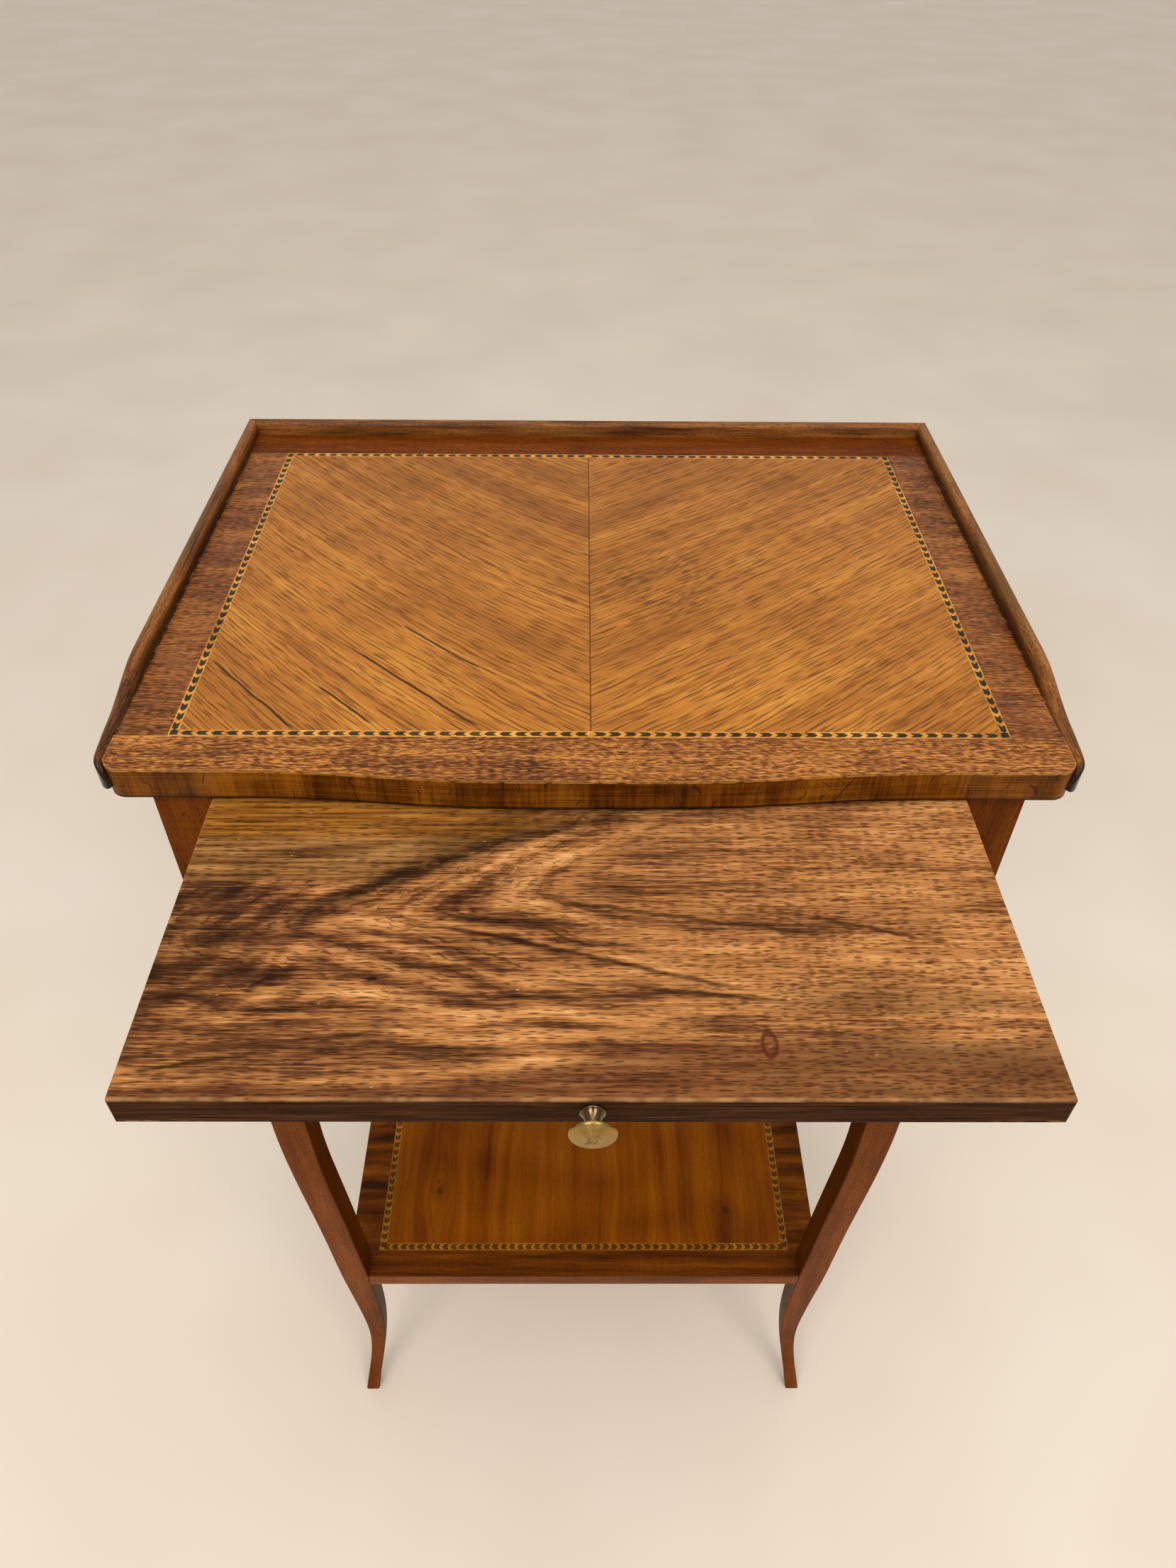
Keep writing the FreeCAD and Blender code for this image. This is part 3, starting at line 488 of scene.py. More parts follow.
def slide_lines(g, colour, x, y, ragged, wedge, in_wedges):
    """Thin dark lines along the wedges, and the single ones."""
    broken = g.step(g.noise(x / 16, y / 5, 12.0, detail=2), 0.44, 0.58)
    lines = g.combed(wedge / 6.0 + g.noise(x / 30, y / 20, 14.0) * 2, 0.5) * broken * in_wedges
    colour = g.mix(lines * 0.65, colour, tone(38, 20, 11))
    for start, place, slope, reach, end in SLIDE_LINES:
        path = place + (x - start) * slope + (g.noise(x / 20, start, 2.0) - 0.5) * 5
        path = path + ragged * 1.5
        near = g.step(abs(y - path), reach, 0.2) * g.step(x, start, start + 14) * g.step(x, end, end - 26)
        patchy = g.step(g.noise(x / 12, start, 4.0), 0.22, 0.42)
        colour = g.mix(near * patchy * 0.72, colour, tone(33, 18, 10))
    return colour


def slide_sweep(g, colour, x, y, feather, ragged):
    """The olive strip at the back left, golden at its back, and the dark sweep that bounds it."""
    curve = 98 + (x + 85) * 0.6 - (x + 85) * (x + 85) * 0.0022
    sweep_y = curve + (g.noise(x / 22, 3.0) - 0.5) * 6 + feather * 11
    edge = g.larger(sweep_y, 98.0 + ragged * 1.5)
    strip = g.step(y - edge, -1.5, 2.0) * g.step(x, 10, -50)
    level = g.noise(x / 45, y / 1.7, 15.0, detail=3) + (g.noise(x / 50, y / 7, 18.0) - 0.5) * 0.4
    olive = g.ramp(level, (0.32, tone(70, 43, 20)), (0.5, tone(122, 82, 42)), (0.66, tone(162, 117, 66)))
    golden = g.ramp(level, (0.32, tone(82, 46, 12)), (0.5, tone(132, 82, 26)), (0.66, tone(168, 112, 40)))
    olive = g.mix(g.step(y + ragged * 3, 119, 126), olive, golden)
    colour = g.mix(strip * 0.85, colour, olive)
    breadth = 4.0 + g.step(x, 20, -60) * 5.0 + (g.noise(x / 12, y / 6, 21.0) - 0.5) * 6
    sweep = g.step(abs(y - sweep_y + 1.5), breadth, 0.3) * g.step(x, 50, -20) * g.step(x, -122, -98)
    sweep = sweep * (0.55 + g.step(g.noise(x / 16, y / 5, 24.0), 0.35, 0.6) * 0.4)
    colour = g.mix(sweep, colour, tone(27, 17, 9))
    shade = g.step(abs(y - sweep_y - 9), 14, 2) * g.step(x, -90, -60) * g.step(x, 60, 10)
    return g.mix(shade * 0.4, colour, tone(58, 36, 14))


def slide_regions(g, colour, x, y, feather, in_swirl):
    """A darker left middle, a reddish front margin and a greyish front right."""
    colour = g.mix(in_swirl * g.step(x, -100, -160) * 0.3, colour, tone(54, 31, 17))
    margin_y = 4 + g.step(x, -80, 40) * 17 + (g.noise(x / 30, 8.0) - 0.5) * 6 + feather * 5
    margin = g.step(y - margin_y, 4.0, -2.5)
    colour = g.mix(margin * 0.6, colour, tone(84, 45, 26))
    grey = g.step(g.noise(x / 70, y / 12, 30.0), 0.42, 0.56) * g.step(x, 40, 90) * g.step(y, 52, 40)
    return g.mix(grey * 0.45, colour, tone(88, 60, 34))


def slide_knots(g, colour, x, y):
    """Two knots: one reddish with a pale core, one small and black."""
    knot = g.math("SQRT", (x - 62) * (x - 62) / 7.0 + (y - 22) * (y - 22) / 26.0)
    colour = g.mix(g.step(knot, 1.5, 0.7) * 0.4, colour, tone(122, 58, 32))
    colour = g.mix(g.step(abs(knot - 0.95), 0.35, 0.1) * 0.75, colour, tone(72, 32, 18))
    colour = g.mix(g.step(knot, 0.5, 0.1) * 0.6, colour, tone(160, 108, 66))
    pin = g.math("SQRT", (x + 81) * (x + 81) / 6.5 + (y - 50) * (y - 50) / 0.9)
    return g.mix(g.step(pin, 1.3, 0.6) * 0.9, colour, tone(19, 15, 12))


def slide_edges(g, colour, x, y, low, high):
    """The front edge, dark with fine level lines, the worn arrises, and a pale line along the top front
    arris that is partly wear and partly a painted highlight.
    """
    front = g.step(y, 1.2, 0.3) * g.step(g.z, high.z / MM - 0.2, high.z / MM - 0.9)
    level = g.noise(x / 40, g.z / 1.1, 2.0, detail=3, distortion=0.3)
    edge_tone = g.ramp(level, (0.3, tone(24, 12, 4)), (0.52, tone(56, 31, 12)), (0.75, tone(88, 52, 26)))
    colour = g.mix(front, colour, edge_tone)
    worn_ends = g.step(abs(x), 120, 160) * g.step(g.z, low.z / MM + 2.5, low.z / MM + 0.5)
    worn = front * worn_ends * g.step(g.noise(x / 6, g.z / 2, 1.0), 0.45, 0.6)
    colour = g.mix(worn * 0.5, colour, tone(155, 118, 77))
    patchy = g.step(g.noise(g.x / 9, g.y / 9, g.z / 9), 0.42, 0.6)
    colour = g.mix(g.arris(0.8) * patchy * 0.4, colour, tone(182, 138, 90))
    # a pale line along the top front arris: patchy wear over an even painted highlight
    arris_wear_and_highlight = g.step(y + high.z / MM - g.z, 1.5, 0.8) * (0.2 + patchy * 0.35)
    return g.mix(arris_wear_and_highlight, colour, tone(178, 130, 88))


def slide_wood(name):
    """Figured walnut: nested wedges of dark lines left of the middle, an olive strip and a dark sweep."""
    g = Graph(name)
    low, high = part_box("slide_board")
    x = g.x
    y = g.y - low.y / MM
    # fibres run along X, so every band has a feathered edge
    feather = g.noise(x / 15, y / 0.9, 40.0, detail=2) - 0.5
    ragged = g.noise(x / 5, y / 1.6, 43.0, detail=2) - 0.5
    light, wedge, in_wedges, in_swirl = slide_figure(g, x, y, feather, ragged)
    colour = g.ramp(light, (0.12, tone(42, 24, 15)), (0.36, tone(97, 59, 34)), (0.52, tone(149, 97, 54)),
                    (0.68, tone(183, 125, 72)), (0.9, tone(211, 158, 101)))
    colour = slide_lines(g, colour, x, y, ragged, wedge, in_wedges)
    colour = slide_sweep(g, colour, x, y, feather, ragged)
    colour = slide_regions(g, colour, x, y, feather, in_swirl)
    colour = slide_knots(g, colour, x, y)
    pores = g.dashes(x, y, g.z / 3, 6.0, 0.9, 0.6, 1.15)
    deep = g.dashes(x, y, g.z / 3 + 9, 3.8, 1.1, 0.55, 1.2) * g.step(x, -10, 70)
    colour = g.mix(pores * 0.7, colour, tone(50, 29, 17))
    colour = g.mix(deep * 0.65, colour, tone(78, 40, 19))
    # a few pale scratches and specks
    specks = g.dashes(x, y, 40.0, 3.4, 2.1, 0.012, 0.55)
    scuffs = g.dashes(x, y, 44.0, 26.0, 1.1, 0.016, 0.4)
    colour = g.mix(g.larger(specks, scuffs) * 0.5, colour, tone(213, 180, 138))
    colour = slide_edges(g, colour, x, y, low, high)
    rough = 0.36 + (0.5 - light) * 0.12 + pores * 0.2
    relief = light * 0.4 - pores - deep - specks * 0.3
    return g.surface(colour, rough, relief, 0.06, **{**DULL, "Specular_IOR_Level": 0.015})


# the shelf's knots: share of its half width, and millimetres behind its front edge
SHELF_KNOTS = ((-0.76, 43), (0.74, 27))


def shelf_centre_wood(name):
    """Orange-brown veneer with its grain along Y, broad darker streaks and two small knots."""
    g = Graph(name)
    low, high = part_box("shelf_veneer")
    half = high.x / MM
    front = low.y / MM
    u, v = g.y, g.x
    pull = None
    for place, behind in SHELF_KNOTS:
        dx = v - half * place
        dy = u - front - behind
        near = g.math("EXPONENT", -(dx * dx / 160.0 + dy * dy / 700.0))
        shift = near * dx * 0.6
        pull = shift if pull is None else pull + shift
    v = v - pull + (g.noise(u / 90, v / 40, 2.0) - 0.5) * 16
    band = g.noise(u / 260, v / 15, 1.0, detail=2)
    streak = g.noise(u / 120, v / 2.2, 4.0, detail=2)
    fibre = g.noise(u / 14, v / 0.5, 6.0, detail=1)
    cloud = g.noise(g.x / 70, g.y / 50, 8.0, detail=1)
    light = 0.48 + (band - 0.5) * 0.75 + (streak - 0.5) * 0.3 + (fibre - 0.5) * 0.15 + (cloud - 0.5) * 0.6
    colour = g.ramp(light, (0.2, tone(78, 32, 1)), (0.45, tone(115, 57, 2)), (0.62, tone(130, 70, 4)),
                    (0.85, tone(152, 90, 11)))
    for place, behind in SHELF_KNOTS:
        dx = g.x - half * place
        dy = g.y - front - behind
        knot = g.math("SQRT", dx * dx / 7.0 + dy * dy / 12.0)
        colour = g.mix(g.step(knot, 4.5, 1.0) * 0.4, colour, tone(78, 33, 2))
        colour = g.mix(g.step(knot, 1.4, 0.3) * 0.6, colour, tone(38, 12, 1))
    pores = g.dashes(u, v, 3.0, 5.0, 0.6, 0.4)
    colour = g.mix(pores * 0.4, colour, tone(68, 31, 2))
    height = light * 0.4 - pores * 0.6
    return g.surface(colour, 0.4 + (0.5 - light) * 0.2, height, 0.05, **DULL)


def shelf_border_wood(name, place):
    """Dark cross-banding: long bands at front and back, purple-brown and brown bars at the sides."""
    g = Graph(name)
    u, v = g.x, g.y
    v = v + (g.noise(u / 30, v / 18, 2.0) - 0.5) * 4
    size = 6 if place == "long" else 11
    band = g.noise(u / (140 if place == "long" else 70), v / size, 3.0, detail=2)
    streak = g.noise(u / 30, v / 1.0, 4.0, detail=1)
    light = 0.5 + (band - 0.5) * (0.7 if place == "long" else 1.3) + (streak - 0.5) * 0.4
    colour = g.ramp(light, (0.25, tone(48, 20, 3)), (0.5, tone(90, 42, 3)), (0.78, tone(122, 66, 8)))
    pores = g.dashes(u, v, 3.0, 4.5, 0.5, 0.6)
    colour = g.mix(pores * 0.6, colour, tone(33, 13, 3))
    return g.surface(colour, 0.42 + (0.5 - light) * 0.15, light * 0.5 - pores, 0.05, **DULL)


def stringing_wood(name, stops):
    """Boxwood or dyed wood of the dotted lines, with small changes from piece to piece."""
    g = Graph(name)
    patch = g.noise(g.x / 4, g.y / 4, g.z / 4, detail=2)
    slow = g.noise(g.x / 70, g.y / 70, 2.0, detail=1)
    light = 0.5 + (patch - 0.5) * 0.8 + (slow - 0.5) * 0.8
    colour = g.ramp(light, *[(place, tone(*stop)) for place, stop in zip((0.2, 0.5, 0.82), stops)])
    return g.surface(colour, 0.38 + (0.5 - patch) * 0.2, patch, 0.03, **VARNISH)


def brass(name, centre_x, centre_z, radius, wood_face):
    """Turned brass: fine rings round the knob's own axis, which stretch its highlights, and painted shade on
    the neck.
    """
    g = Graph(name)
    dx = g.x - centre_x / MM
    dz = g.z - centre_z / MM
    away = g.math("SQRT", dx * dx + dz * dz)
    rings = g.noise(away / 0.16, g.y / 0.3, 1.0, detail=2)
    broad = g.noise(away / 1.1, g.y / 1.2, 5.0, detail=1)
    cloud = g.noise(g.x / 5, g.y / 5, g.z / 5, detail=1)
    light = 0.5 + (rings - 0.5) * 0.3 + (broad - 0.5) * 0.4 + (cloud - 0.5) * 0.4
    colour = g.ramp(light, (0.2, tone(128, 96, 50)), (0.5, tone(162, 130, 74)), (0.8, tone(182, 154, 98)))
    tarnish = g.step(cloud, 0.6, 0.75)
    colour = g.mix(tarnish * 0.3, colour, tone(96, 65, 33))
    rim = radius / MM
    ring = g.step(abs(away - rim * 0.19), 0.3, 0.1) * g.step(wood_face / MM - g.y, 8.5, 9.0)
    colour = g.mix(ring * 0.6, colour, tone(88, 62, 30))
    # painted shade: the foot and neck, within about 7 mm of the wood, darken to a greyish brown and stay
    # glossy
    painted_neck_shade = g.step(wood_face / MM - g.y, 7.6, 6.2)
    colour = g.mix(painted_neck_shade * 0.8, colour, tone(72, 62, 50))
    rough = 0.34 + (rings - 0.5) * 0.1 + tarnish * 0.12 - painted_neck_shade * 0.18
    height = rings * 0.6 + broad * 0.4
    material = g.surface(colour, rough, height, 0.01,
                         Metallic=1.0, Anisotropic=0.93, Anisotropic_Rotation=0.25)
    turning = g.add("ShaderNodeTangent", direction_type="RADIAL", axis="Y")
    shader = next(node for node in g.tree.nodes if node.type == "BSDF_PRINCIPLED")
    g.tree.links.new(turning.outputs[0], shader.inputs["Tangent"])
    return material


def steel(name):
    g = Graph(name)
    cloud = g.noise(g.x / 2, g.y / 2, g.z / 2, detail=3)
    colour = g.ramp(cloud, (0.3, tone(112, 106, 98)), (0.6, tone(168, 164, 156)))
    return g.surface(colour, 0.34 + (cloud - 0.5) * 0.3, cloud, 0.02, Metallic=1.0)


def paint(node, material):
    slots = NODES[node].material_slots
    slots[0].link = "OBJECT"
    slots[0].material = material


mahogany = {axis: plain_wood("mahogany_" + axis, axis, MAHOGANY, weights=(0.7, 0.6, 0.4, 0.3), coat=DULL)
            for axis in "xyz"}
# the legs carry painted shade on their inner sides and upper parts
leg_wood = plain_wood("leg_wood", "z", LEG, band=16, seed=3.0, weights=(0.6, 0.35, 0.25, 0.3),
                      coat={**DULL, "Specular_IOR_Level": 0.04}, painted_leg_shade=True)
drawer_wood = plain_wood("drawer_front_wood", "x", DRAWER_FRONT, band=8, sway=14.0, seed=6.0,
                         weights=(0.7, 0.7, 0.5, 0.3), coat=DULL)
lining = {axis: plain_wood("lining_" + axis, axis, LINING, band=10, roughness=0.6, worn=0.2,
                           coat={"Specular_IOR_Level": 0.3}) for axis in "xy"}

paint("top_board", plain_wood("top_core_wood", "x", MAHOGANY, seed=9.0, roughness=0.5))
paint("top_front_edge", edge_wood("front_edge_wood"))
for place in ("front", "back", "left", "right"):
    paint("top_border_" + place, border_veneer("top_border_" + place, place))
for place, side in (("left", -1), ("right", 1)):
    paint("top_veneer_" + place, centre_veneer("top_centre_" + place, side))
    paint("gallery_" + place, gallery_wood("gallery_wood_" + place, "y"))
    paint("side_panel_" + place, mahogany["y"])
    for run in ("slide_runner_", "upper_drawer_runner_", "lower_drawer_runner_"):
        paint(run + place, lining["y"])
    for end in ("front", "back"):
        paint(f"leg_{end}_{place}", leg_wood)
    for drawer in ("upper", "lower"):
        paint(f"{drawer}_drawer_side_{place}", lining["y"])
paint("gallery_back", gallery_wood("gallery_wood_back", "x"))
paint("back_panel", mahogany["x"])
for rail in ("slide_rail", "drawer_divider", "bottom_rail"):
    paint(rail, mahogany["x"])
for drawer in ("upper", "lower"):
    paint(drawer + "_drawer_front", drawer_wood)
    paint(drawer + "_drawer_back", lining["x"])
    paint(drawer + "_drawer_bottom", lining["x"])
paint("slide_board", slide_wood("slide_walnut"))
paint("slide_stops", mahogany["y"])
paint("shelf_board", plain_wood("shelf_core_wood", "x", SHELF_CORE, seed=12.0, coat=DULL))
paint("shelf_veneer", shelf_centre_wood("shelf_centre"))
for place, kind in (("front", "long"), ("back", "long"), ("left", "bars"), ("right", "bars")):
    paint("shelf_border_" + place, shelf_border_wood("shelf_border_" + place, kind))
paint("shelf_dowels", lining["x"])
paint("top_screws", steel("screw_steel"))


def mesh_object(name, mesh, materials):
    """An object of a finished mesh, in the scene."""
    data = bpy.data.meshes.new(name)
    mesh.to_mesh(data)
    mesh.free()
    for material in materials:
        data.materials.append(material)
    made = bpy.data.objects.new(name, data)
    bpy.context.scene.collection.objects.link(made)
    return made


# --- stringing: mitred strips of arrowhead tiles --------------------------------------------------
EDGE_LINE = 0.6 * MM        # the pale line along each side of a strip
TILE_SLANT = 1.5 * MM       # how far a tile's point stands ahead of its edges
TILE_DARK = 0.64            # dark part of the pitch
TILE_GAP = 0.05 * MM
TOP_PITCH = 6.6 * MM
SHELF_PITCH = 6.5 * MM
PALE, DARK = 0, 1           # places of the two woods in a strip's materials


def clip(points, origin, normal):
    """The part of a convex outline on the side of a line that normal points away from."""
    kept = []
    for a, b in zip(points, points[1:] + points[:1]):
        side_a = (a - origin).dot(normal)
        side_b = (b - origin).dot(normal)
        if side_a <= 0:
            kept.append(a)
        if side_a * side_b < 0:
            kept.append(a + (b - a) * (side_a / (side_a - side_b)))
    return kept


def prism(mesh, points, place, low, high, material):
    """A closed prism of a flat outline, turned and moved into place."""
    if len(points) < 3:
        return
    rings = []
    for z in (low, high):
        rings.append([mesh.verts.new(place @ Vector((p.x, p.y, z))) for p in points])
    faces = [mesh.faces.new(rings[1]), mesh.faces.new(rings[0][::-1])]
    for i in range(len(points)):
        j = (i + 1) % len(points)
        faces.append(mesh.faces.new((rings[0][i], rings[0][j], rings[1][j], rings[1][i])))
    for face in faces:
        face.material_index = material


def rectangle(x0, y0, x1, y1):
    return [Vector((x0, y0)), Vector((x1, y0)), Vector((x1, y1)), Vector((x0, y1))]


def tile_halves(start, end, width):
    """Corners of the two halves of an arrowhead tile that points along x, with a hair's gap at its ends."""
    a = start + TILE_GAP / 2
    b = end - TILE_GAP / 2
    middle = width / 2
    rim = width - EDGE_LINE
    return ([(a, EDGE_LINE), (b, EDGE_LINE), (b + TILE_SLANT, middle), (a + TILE_SLANT, middle)],
            [(a + TILE_SLANT, middle), (b + TILE_SLANT, middle), (b, rim), (a, rim)])


def mirrored_tiles(length, width, pitch):
    """Tiles that point away from the middle of a strip, both ways."""
    half = length / 2
    pale = pitch * (1 - TILE_DARK)
    tiles = []
    for way in (-1, 1):
        for i in range(math.ceil(half / pitch) + 1):
            begin = i * pitch + pale / 2
            for start, end, kind in ((begin - pale, begin, PALE), (begin, begin + pitch * TILE_DARK, DARK)):
                for corners in tile_halves(start, end, width):
                    points = [Vector((half + way * px, py)) for px, py in corners]
                    points = clip(points, Vector((half, 0)), Vector((-way, 0)))
                    tiles.append((points[::way], kind))
    return tiles


def one_way_tiles(length, width, pitch, way):
    """Tiles that all point one way, along the whole of a strip."""
    dark = pitch * TILE_DARK
    tiles = []
    for i in range(-1, math.ceil(length / pitch) + 1):
        begin = i * pitch
        for start, end, kind in ((begin, begin + dark, DARK), (begin + dark, begin + pitch, PALE)):
            for corners in tile_halves(start, end, width):
                points = [Vector((px if way > 0 else length - px, py)) for px, py in corners]
                tiles.append((points[::way], kind))
    return tiles


def with_corner_block(tiles, length, width, at_end):
    """Tiles cut back at one end of a strip, with a dark block in their place."""
    start, stop = (length - width, length) if at_end else (0, width)
    border, beyond = (start, Vector((1, 0))) if at_end else (stop, Vector((-1, 0)))
    kept = []
    for points, kind in tiles:
        points = clip(points, Vector((border, 0)), beyond)
        if len(points) > 2:
            kept.append((points, kind))
    return kept + [(rectangle(start, EDGE_LINE, stop, width - EDGE_LINE), DARK)]


def stringing(name, node, outer, side, pitch, materials, single, dark_corners):
    """One mitred strip in place of a CAD strip. outer is the rectangle that the four strips of a level make.

    single is 0 for tiles mirrored about the strip's middle, and 1 or -1 for tiles that all point one way.
    """
    low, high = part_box(node)
    (x0, y0), (x1, y1) = outer
    width = min(high.x - low.x, high.y - low.y)
    turn = {"front": 0, "right": 90, "back": 180, "left": 270}[side]
    corner = {"front": (x0, y0), "right": (x1, y0), "back": (x1, y1), "left": (x0, y1)}[side]
    length = x1 - x0 if side in ("front", "back") else y1 - y0
    place = Matrix.Translation((corner[0], corner[1], 0)) @ Matrix.Rotation(math.radians(turn), 4, "Z")
    if single:
        tiles = one_way_tiles(length, width, pitch, single)
    else:
        tiles = mirrored_tiles(length, width, pitch)
    if dark_corners and side != "back":
        # the blocks are at the two front corners
        for at_end in (False, True) if side == "front" else (single > 0,):
            tiles = with_corner_block(tiles, length, width, at_end)
    edge_lines = [(rectangle(0, 0, length, EDGE_LINE), PALE),
                  (rectangle(0, width - EDGE_LINE, length, width), PALE)]
    mesh = bmesh.new()
    for points, kind in edge_lines + tiles:
        points = clip(points, Vector((0, 0)), Vector((-1, 1)))
        points = clip(points, Vector((length, 0)), Vector((1, 1))) if points else points
        prism(mesh, points, place, low.z, high.z, kind)
    piece = mesh_object(name, mesh, materials)
    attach(piece, "table")
    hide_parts(node)


STRINGING_WOODS = {
    "top": (stringing_wood("boxwood", ((138, 78, 24), (200, 134, 52), (224, 170, 88))),
            stringing_wood("dyed_wood", ((22, 22, 16), (40, 40, 28), (76, 60, 36)))),
    "shelf": (stringing_wood("shelf_boxwood", ((104, 60, 8), (142, 88, 16), (172, 114, 30))),
              stringing_wood("shelf_dyed_wood", ((52, 28, 2), (74, 42, 3), (100, 58, 8)))),
}
for level, pitch in (("top", TOP_PITCH), ("shelf", SHELF_PITCH)):
    boxes = [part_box(f"{level}_stringing_{side}") for side in ("front", "back", "left", "right")]
    outer = ((min(b[0].x for b in boxes), min(b[0].y for b in boxes)),
             (max(b[1].x for b in boxes), max(b[1].y for b in boxes)))
    for side, single in (("front", 0), ("back", 0), ("left", 1), ("right", -1)):
        stringing(f"{level}_stringing_tiles_{side}", f"{level}_stringing_{side}", outer, side, pitch,
                  STRINGING_WOODS[level], single, level == "top")


# --- knobs ----------------------------------------------------------------------------------------
KNOB_SEGMENTS = 96
# radii as shares of the disc's radius
BASE_RADIUS = 0.563
WAIST_RADIUS = 0.263
FLARE_RADIUS = 0.09         # from the waist to the disc's back
EYE_RADIUS = 0.205
# places along the knob's axis as shares of its reach
SWEEP_START = 0.1
SWEEP_LENGTH = 0.5
FLARE_START = 0.6
DISC_BACK = 0.708
DISC_FACE = 0.85
EYE_TOP = 0.985
# turning marks on the disc's face
RIPPLE_DEPTH = 0.022 * MM
RIPPLES = 13
SWEEP_POWER = 2.3
SWEEP_STEPS = 12
FLARE_STEPS = 6
RIM_STEPS = 10
FACE_STEPS = 60


def foot_profile(base, reach):
    """The round foot, which ends in a small step."""
    return [(0.0, 0.0), (base * 0.97, 0.0), (base, reach * 0.012), (base, reach * 0.055),
            (base * 0.965, reach * 0.08), (base * 0.93, reach * 0.088), (base * 0.9, reach * SWEEP_START)]


def neck_profile(radius, base, reach):
    """The neck sweeps in to the waist and flares out again behind the disc."""
    waist = WAIST_RADIUS * radius
    back = reach * DISC_BACK
    flare = reach * FLARE_START
    points = []
    for i in range(1, SWEEP_STEPS + 1):
        t = i / SWEEP_STEPS
        sweep = (1 - t) ** SWEEP_POWER
        points.append((waist + (base * 0.9 - waist) * sweep, reach * (SWEEP_START + SWEEP_LENGTH * t)))
    for i in range(1, FLARE_STEPS + 1):
        t = i / FLARE_STEPS
        r = waist + FLARE_RADIUS * radius * (1 - math.cos(t * math.pi / 2))
        points.append((r, flare + (back - flare) * math.sin(t * math.pi / 2)))
    return points


def disc_profile(radius, reach):
    """The disc's back, its round rim, and a low cone with turning marks up to the eye."""
    back = reach * DISC_BACK
    face = reach * DISC_FACE
    eye_top = reach * EYE_TOP
    rim = (face - back) / 2
    points = [(radius - rim * 1.4, back)]
    for i in range(1, RIM_STEPS):
        angle = -math.pi / 2 + math.pi * i / RIM_STEPS
        points.append((radius - rim + rim * math.cos(angle), back + rim + rim * math.sin(angle)))
    outer = radius - rim
    eye = EYE_RADIUS * radius
    for i in range(FACE_STEPS + 1):
        share = i / FACE_STEPS
        r = outer + (eye - outer) * share
        ripple = RIPPLE_DEPTH * math.sin(share * math.pi * (2 * RIPPLES)) * (1 - 0.4 * share)
        points.append((r, face + (eye_top - face) * share + ripple))
    points += [(eye * 0.92, eye_top - reach * 0.012), (eye * 0.78, eye_top - reach * 0.014),
               (eye * 0.66, eye_top - reach * 0.004), (eye * 0.4, eye_top - reach * 0.012),
               (0.0, eye_top - reach * 0.03)]
    return points


def turned_profile(radius, reach):
    """Points (radius, distance out from the wood) from the knob's base to the middle of its face."""
    base = BASE_RADIUS * radius
    return foot_profile(base, reach) + neck_profile(radius, base, reach) + disc_profile(radius, reach)


def knob(name, node, face_node, body):
    """A turned brass knob in place of a CAD knob."""
    low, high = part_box(node)
    wood_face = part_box(face_node)[0].y
    centre_x = (low.x + high.x) / 2
    centre_z = (low.z + high.z) / 2
    radius = (high.x - low.x) / 2
    reach = wood_face - low.y
    mesh = bmesh.new()
    rings = []
    for r, out in turned_profile(radius, reach):
        y = wood_face - out
        if r == 0:
            rings.append([mesh.verts.new((centre_x, y, centre_z))])
            continue
        ring = []
        for i in range(KNOB_SEGMENTS):
            angle = 2 * math.pi * i / KNOB_SEGMENTS
            ring.append(mesh.verts.new((centre_x + r * math.cos(angle), y, centre_z + r * math.sin(angle))))
        rings.append(ring)
    for a, b in zip(rings, rings[1:]):
        for i in range(KNOB_SEGMENTS):
            j = (i + 1) % KNOB_SEGMENTS
            if len(a) == 1:
                mesh.faces.new((a[0], b[i], b[j]))
            elif len(b) == 1:
                mesh.faces.new((a[i], b[0], a[j]))
            else:
                mesh.faces.new((a[i], b[i], b[j], a[j]))
    bmesh.ops.recalc_face_normals(mesh, faces=mesh.faces)
    piece = mesh_object(name, mesh, [brass(name + "_brass", centre_x, centre_z, radius, wood_face)])
    piece.data.shade_smooth()
    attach(piece, body)
    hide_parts(node)


knob("slide_knob_turned", "slide_knob", "slide_board", "slide")
knob("upper_knob_turned", "upper_drawer_knob", "upper_drawer_front", "upper_drawer")
knob("lower_knob_turned", "lower_drawer_knob", "lower_drawer_front", "lower_drawer")


# --- floor, light and camera ----------------------------------------------------------------------
FLOOR_REACH = 10.0          # from the middle to each side of the floor


def floor():
    mesh = bmesh.new()
    corners = ((-1, -1), (1, -1), (1, 1), (-1, 1))
    mesh.faces.new([mesh.verts.new((x * FLOOR_REACH, y * FLOOR_REACH, 0)) for x, y in corners])
    g = Graph("floor_paint")
    cloud = g.noise(g.x / 300, g.y / 300, 0.0, detail=2)
    colour = g.ramp(cloud, (0.3, tone(225, 212, 195)), (0.7, tone(231, 220, 205)))
    paint_coat = g.surface(colour, 0.62 + (cloud - 0.5) * 0.05, Specular_IOR_Level=0.3)
    piece = mesh_object("floor", mesh, [paint_coat])


def area_light(name, place, aim, size, power, colour):
    data = bpy.data.lights.new(name, "AREA")
    data.shape = "SQUARE"
    data.size = size
    data.energy = power
    data.color = colour
    lamp = bpy.data.objects.new(name, data)
    lamp.location = place
    lamp.rotation_mode = "QUATERNION"
    lamp.rotation_quaternion = (Vector(aim) - Vector(place)).to_track_quat("-Z", "Y")
    bpy.context.scene.collection.objects.link(lamp)


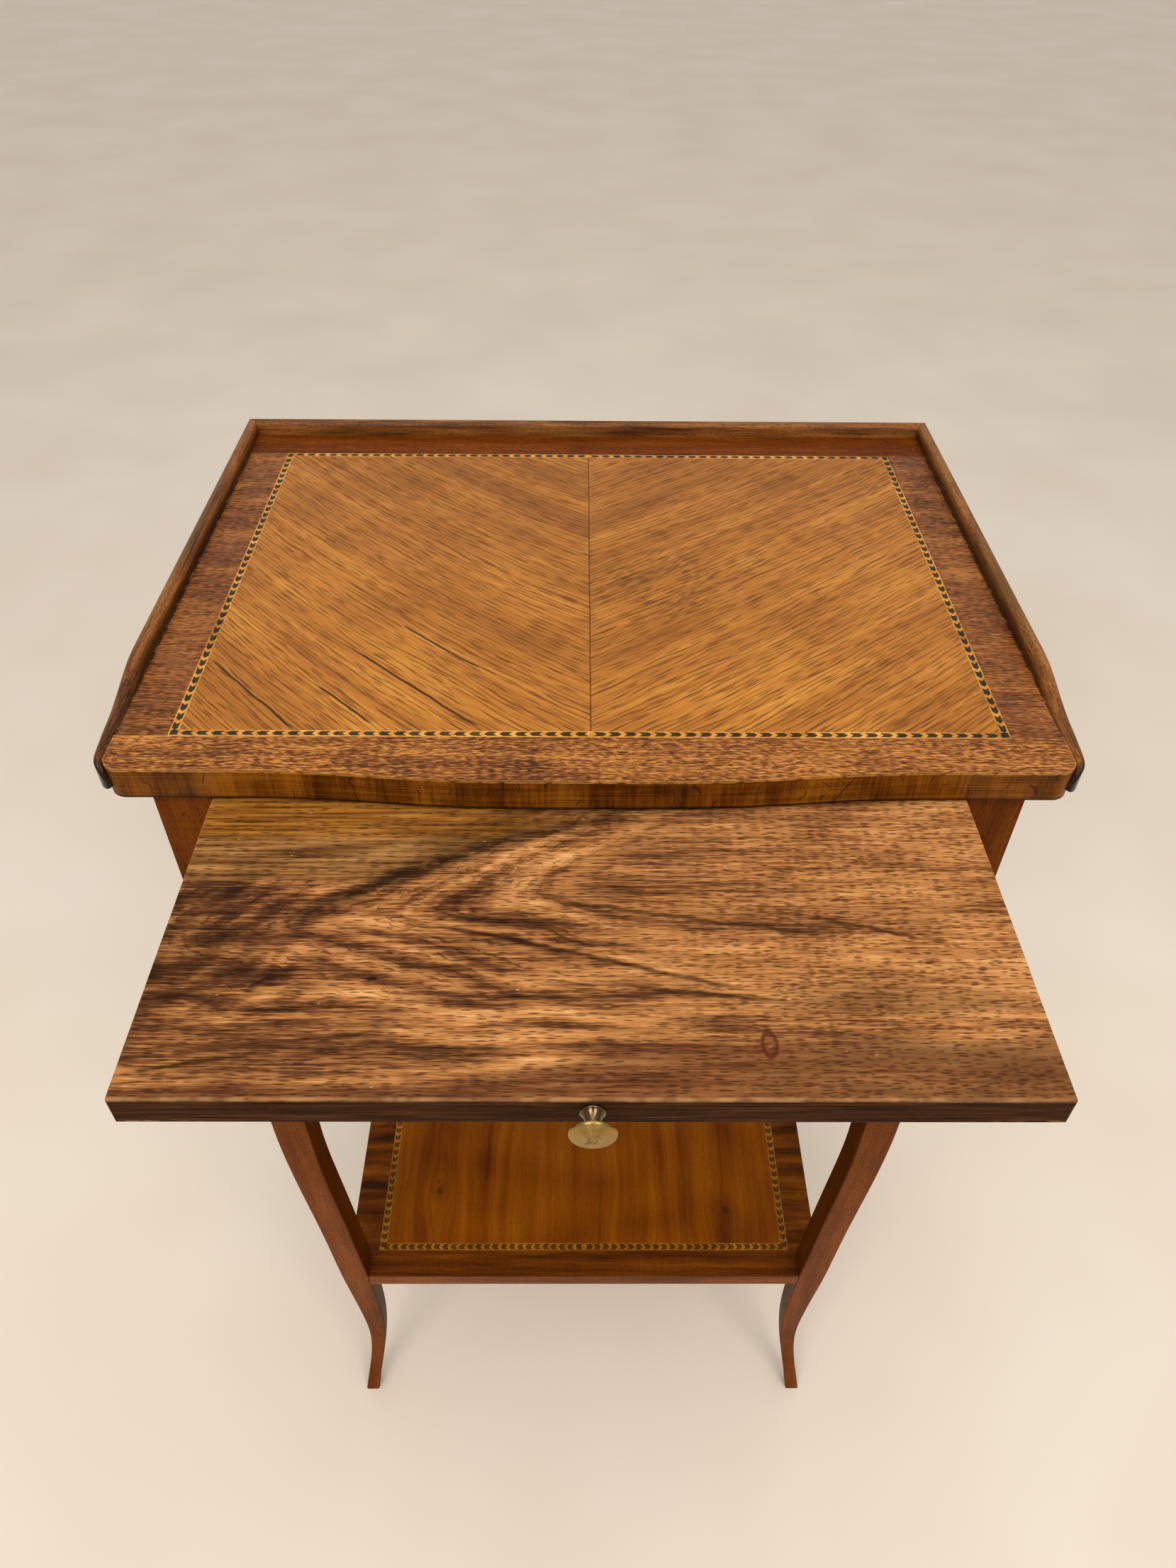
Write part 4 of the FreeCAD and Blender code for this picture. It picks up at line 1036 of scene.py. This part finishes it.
def world(zenith, horizon, colour):
    """Even studio light, brighter overhead than at the horizon."""
    studio = bpy.data.worlds.new("studio")
    studio.use_nodes = True
    tree = studio.node_tree
    background = tree.nodes["Background"]
    background.inputs["Color"].default_value = colour
    direction = tree.nodes.new("ShaderNodeTexCoord")
    parts = tree.nodes.new("ShaderNodeSeparateXYZ")
    strength = tree.nodes.new("ShaderNodeMapRange")
    strength.inputs["From Min"].default_value = 0.0
    strength.inputs["From Max"].default_value = 0.9
    strength.inputs["To Min"].default_value = horizon
    strength.inputs["To Max"].default_value = zenith
    tree.links.new(direction.outputs["Generated"], parts.inputs[0])
    tree.links.new(parts.outputs["Z"], strength.inputs["Value"])
    tree.links.new(strength.outputs[0], background.inputs["Strength"])
    bpy.context.scene.world = studio


# the studio's even light
ZENITH = 0.78
HORIZON = 0.42
STUDIO_COLOUR = (1.0, 0.97, 0.93, 1.0)
# lamps: name, place, size in metres, watts and colour; all point at the middle of the table
LAMPS = (("key_left", (-0.8, -1.7, 2.4), 1.0, 22, (1.0, 0.95, 0.88)),
         ("key_right", (0.9, -1.6, 2.4), 1.0, 20, (1.0, 0.96, 0.9)),
         ("ceiling", (0.0, -0.5, 2.8), 1.6, 14, (1.0, 0.98, 0.95)))
# the camera: metres, degrees and, for its lens and sensor, millimetres
CAMERA_PLACE = (-0.0050, -0.4229, 1.0592)
CAMERA_YAW = -0.634
CAMERA_DOWN = 42.91
CAMERA_ROLL = 0.625
CAMERA_LENS = 25.117
CAMERA_SENSOR = 36
NEAREST = 0.01
FARTHEST = 100

floor()
bpy.context.scene.view_settings.view_transform = "Standard"
world(ZENITH, HORIZON, STUDIO_COLOUR)
middle = (cad_box[0] + cad_box[1]) / 2
for name, place, size, power, colour in LAMPS:
    area_light(name, place, middle, size, power, colour)

camera_data = bpy.data.cameras.new("camera")
camera_data.sensor_width = CAMERA_SENSOR
camera_data.lens = CAMERA_LENS
camera_data.clip_start = NEAREST
camera_data.clip_end = FARTHEST
camera = bpy.data.objects.new("camera", camera_data)
yaw = Matrix.Rotation(math.radians(CAMERA_YAW), 4, "Z")
pitch = Matrix.Rotation(math.radians(90 - CAMERA_DOWN), 4, "X")
roll = Matrix.Rotation(math.radians(CAMERA_ROLL), 4, "Z")
camera.matrix_world = Matrix.Translation(CAMERA_PLACE) @ yaw @ pitch @ roll
bpy.context.scene.collection.objects.link(camera)
bpy.context.scene.camera = camera
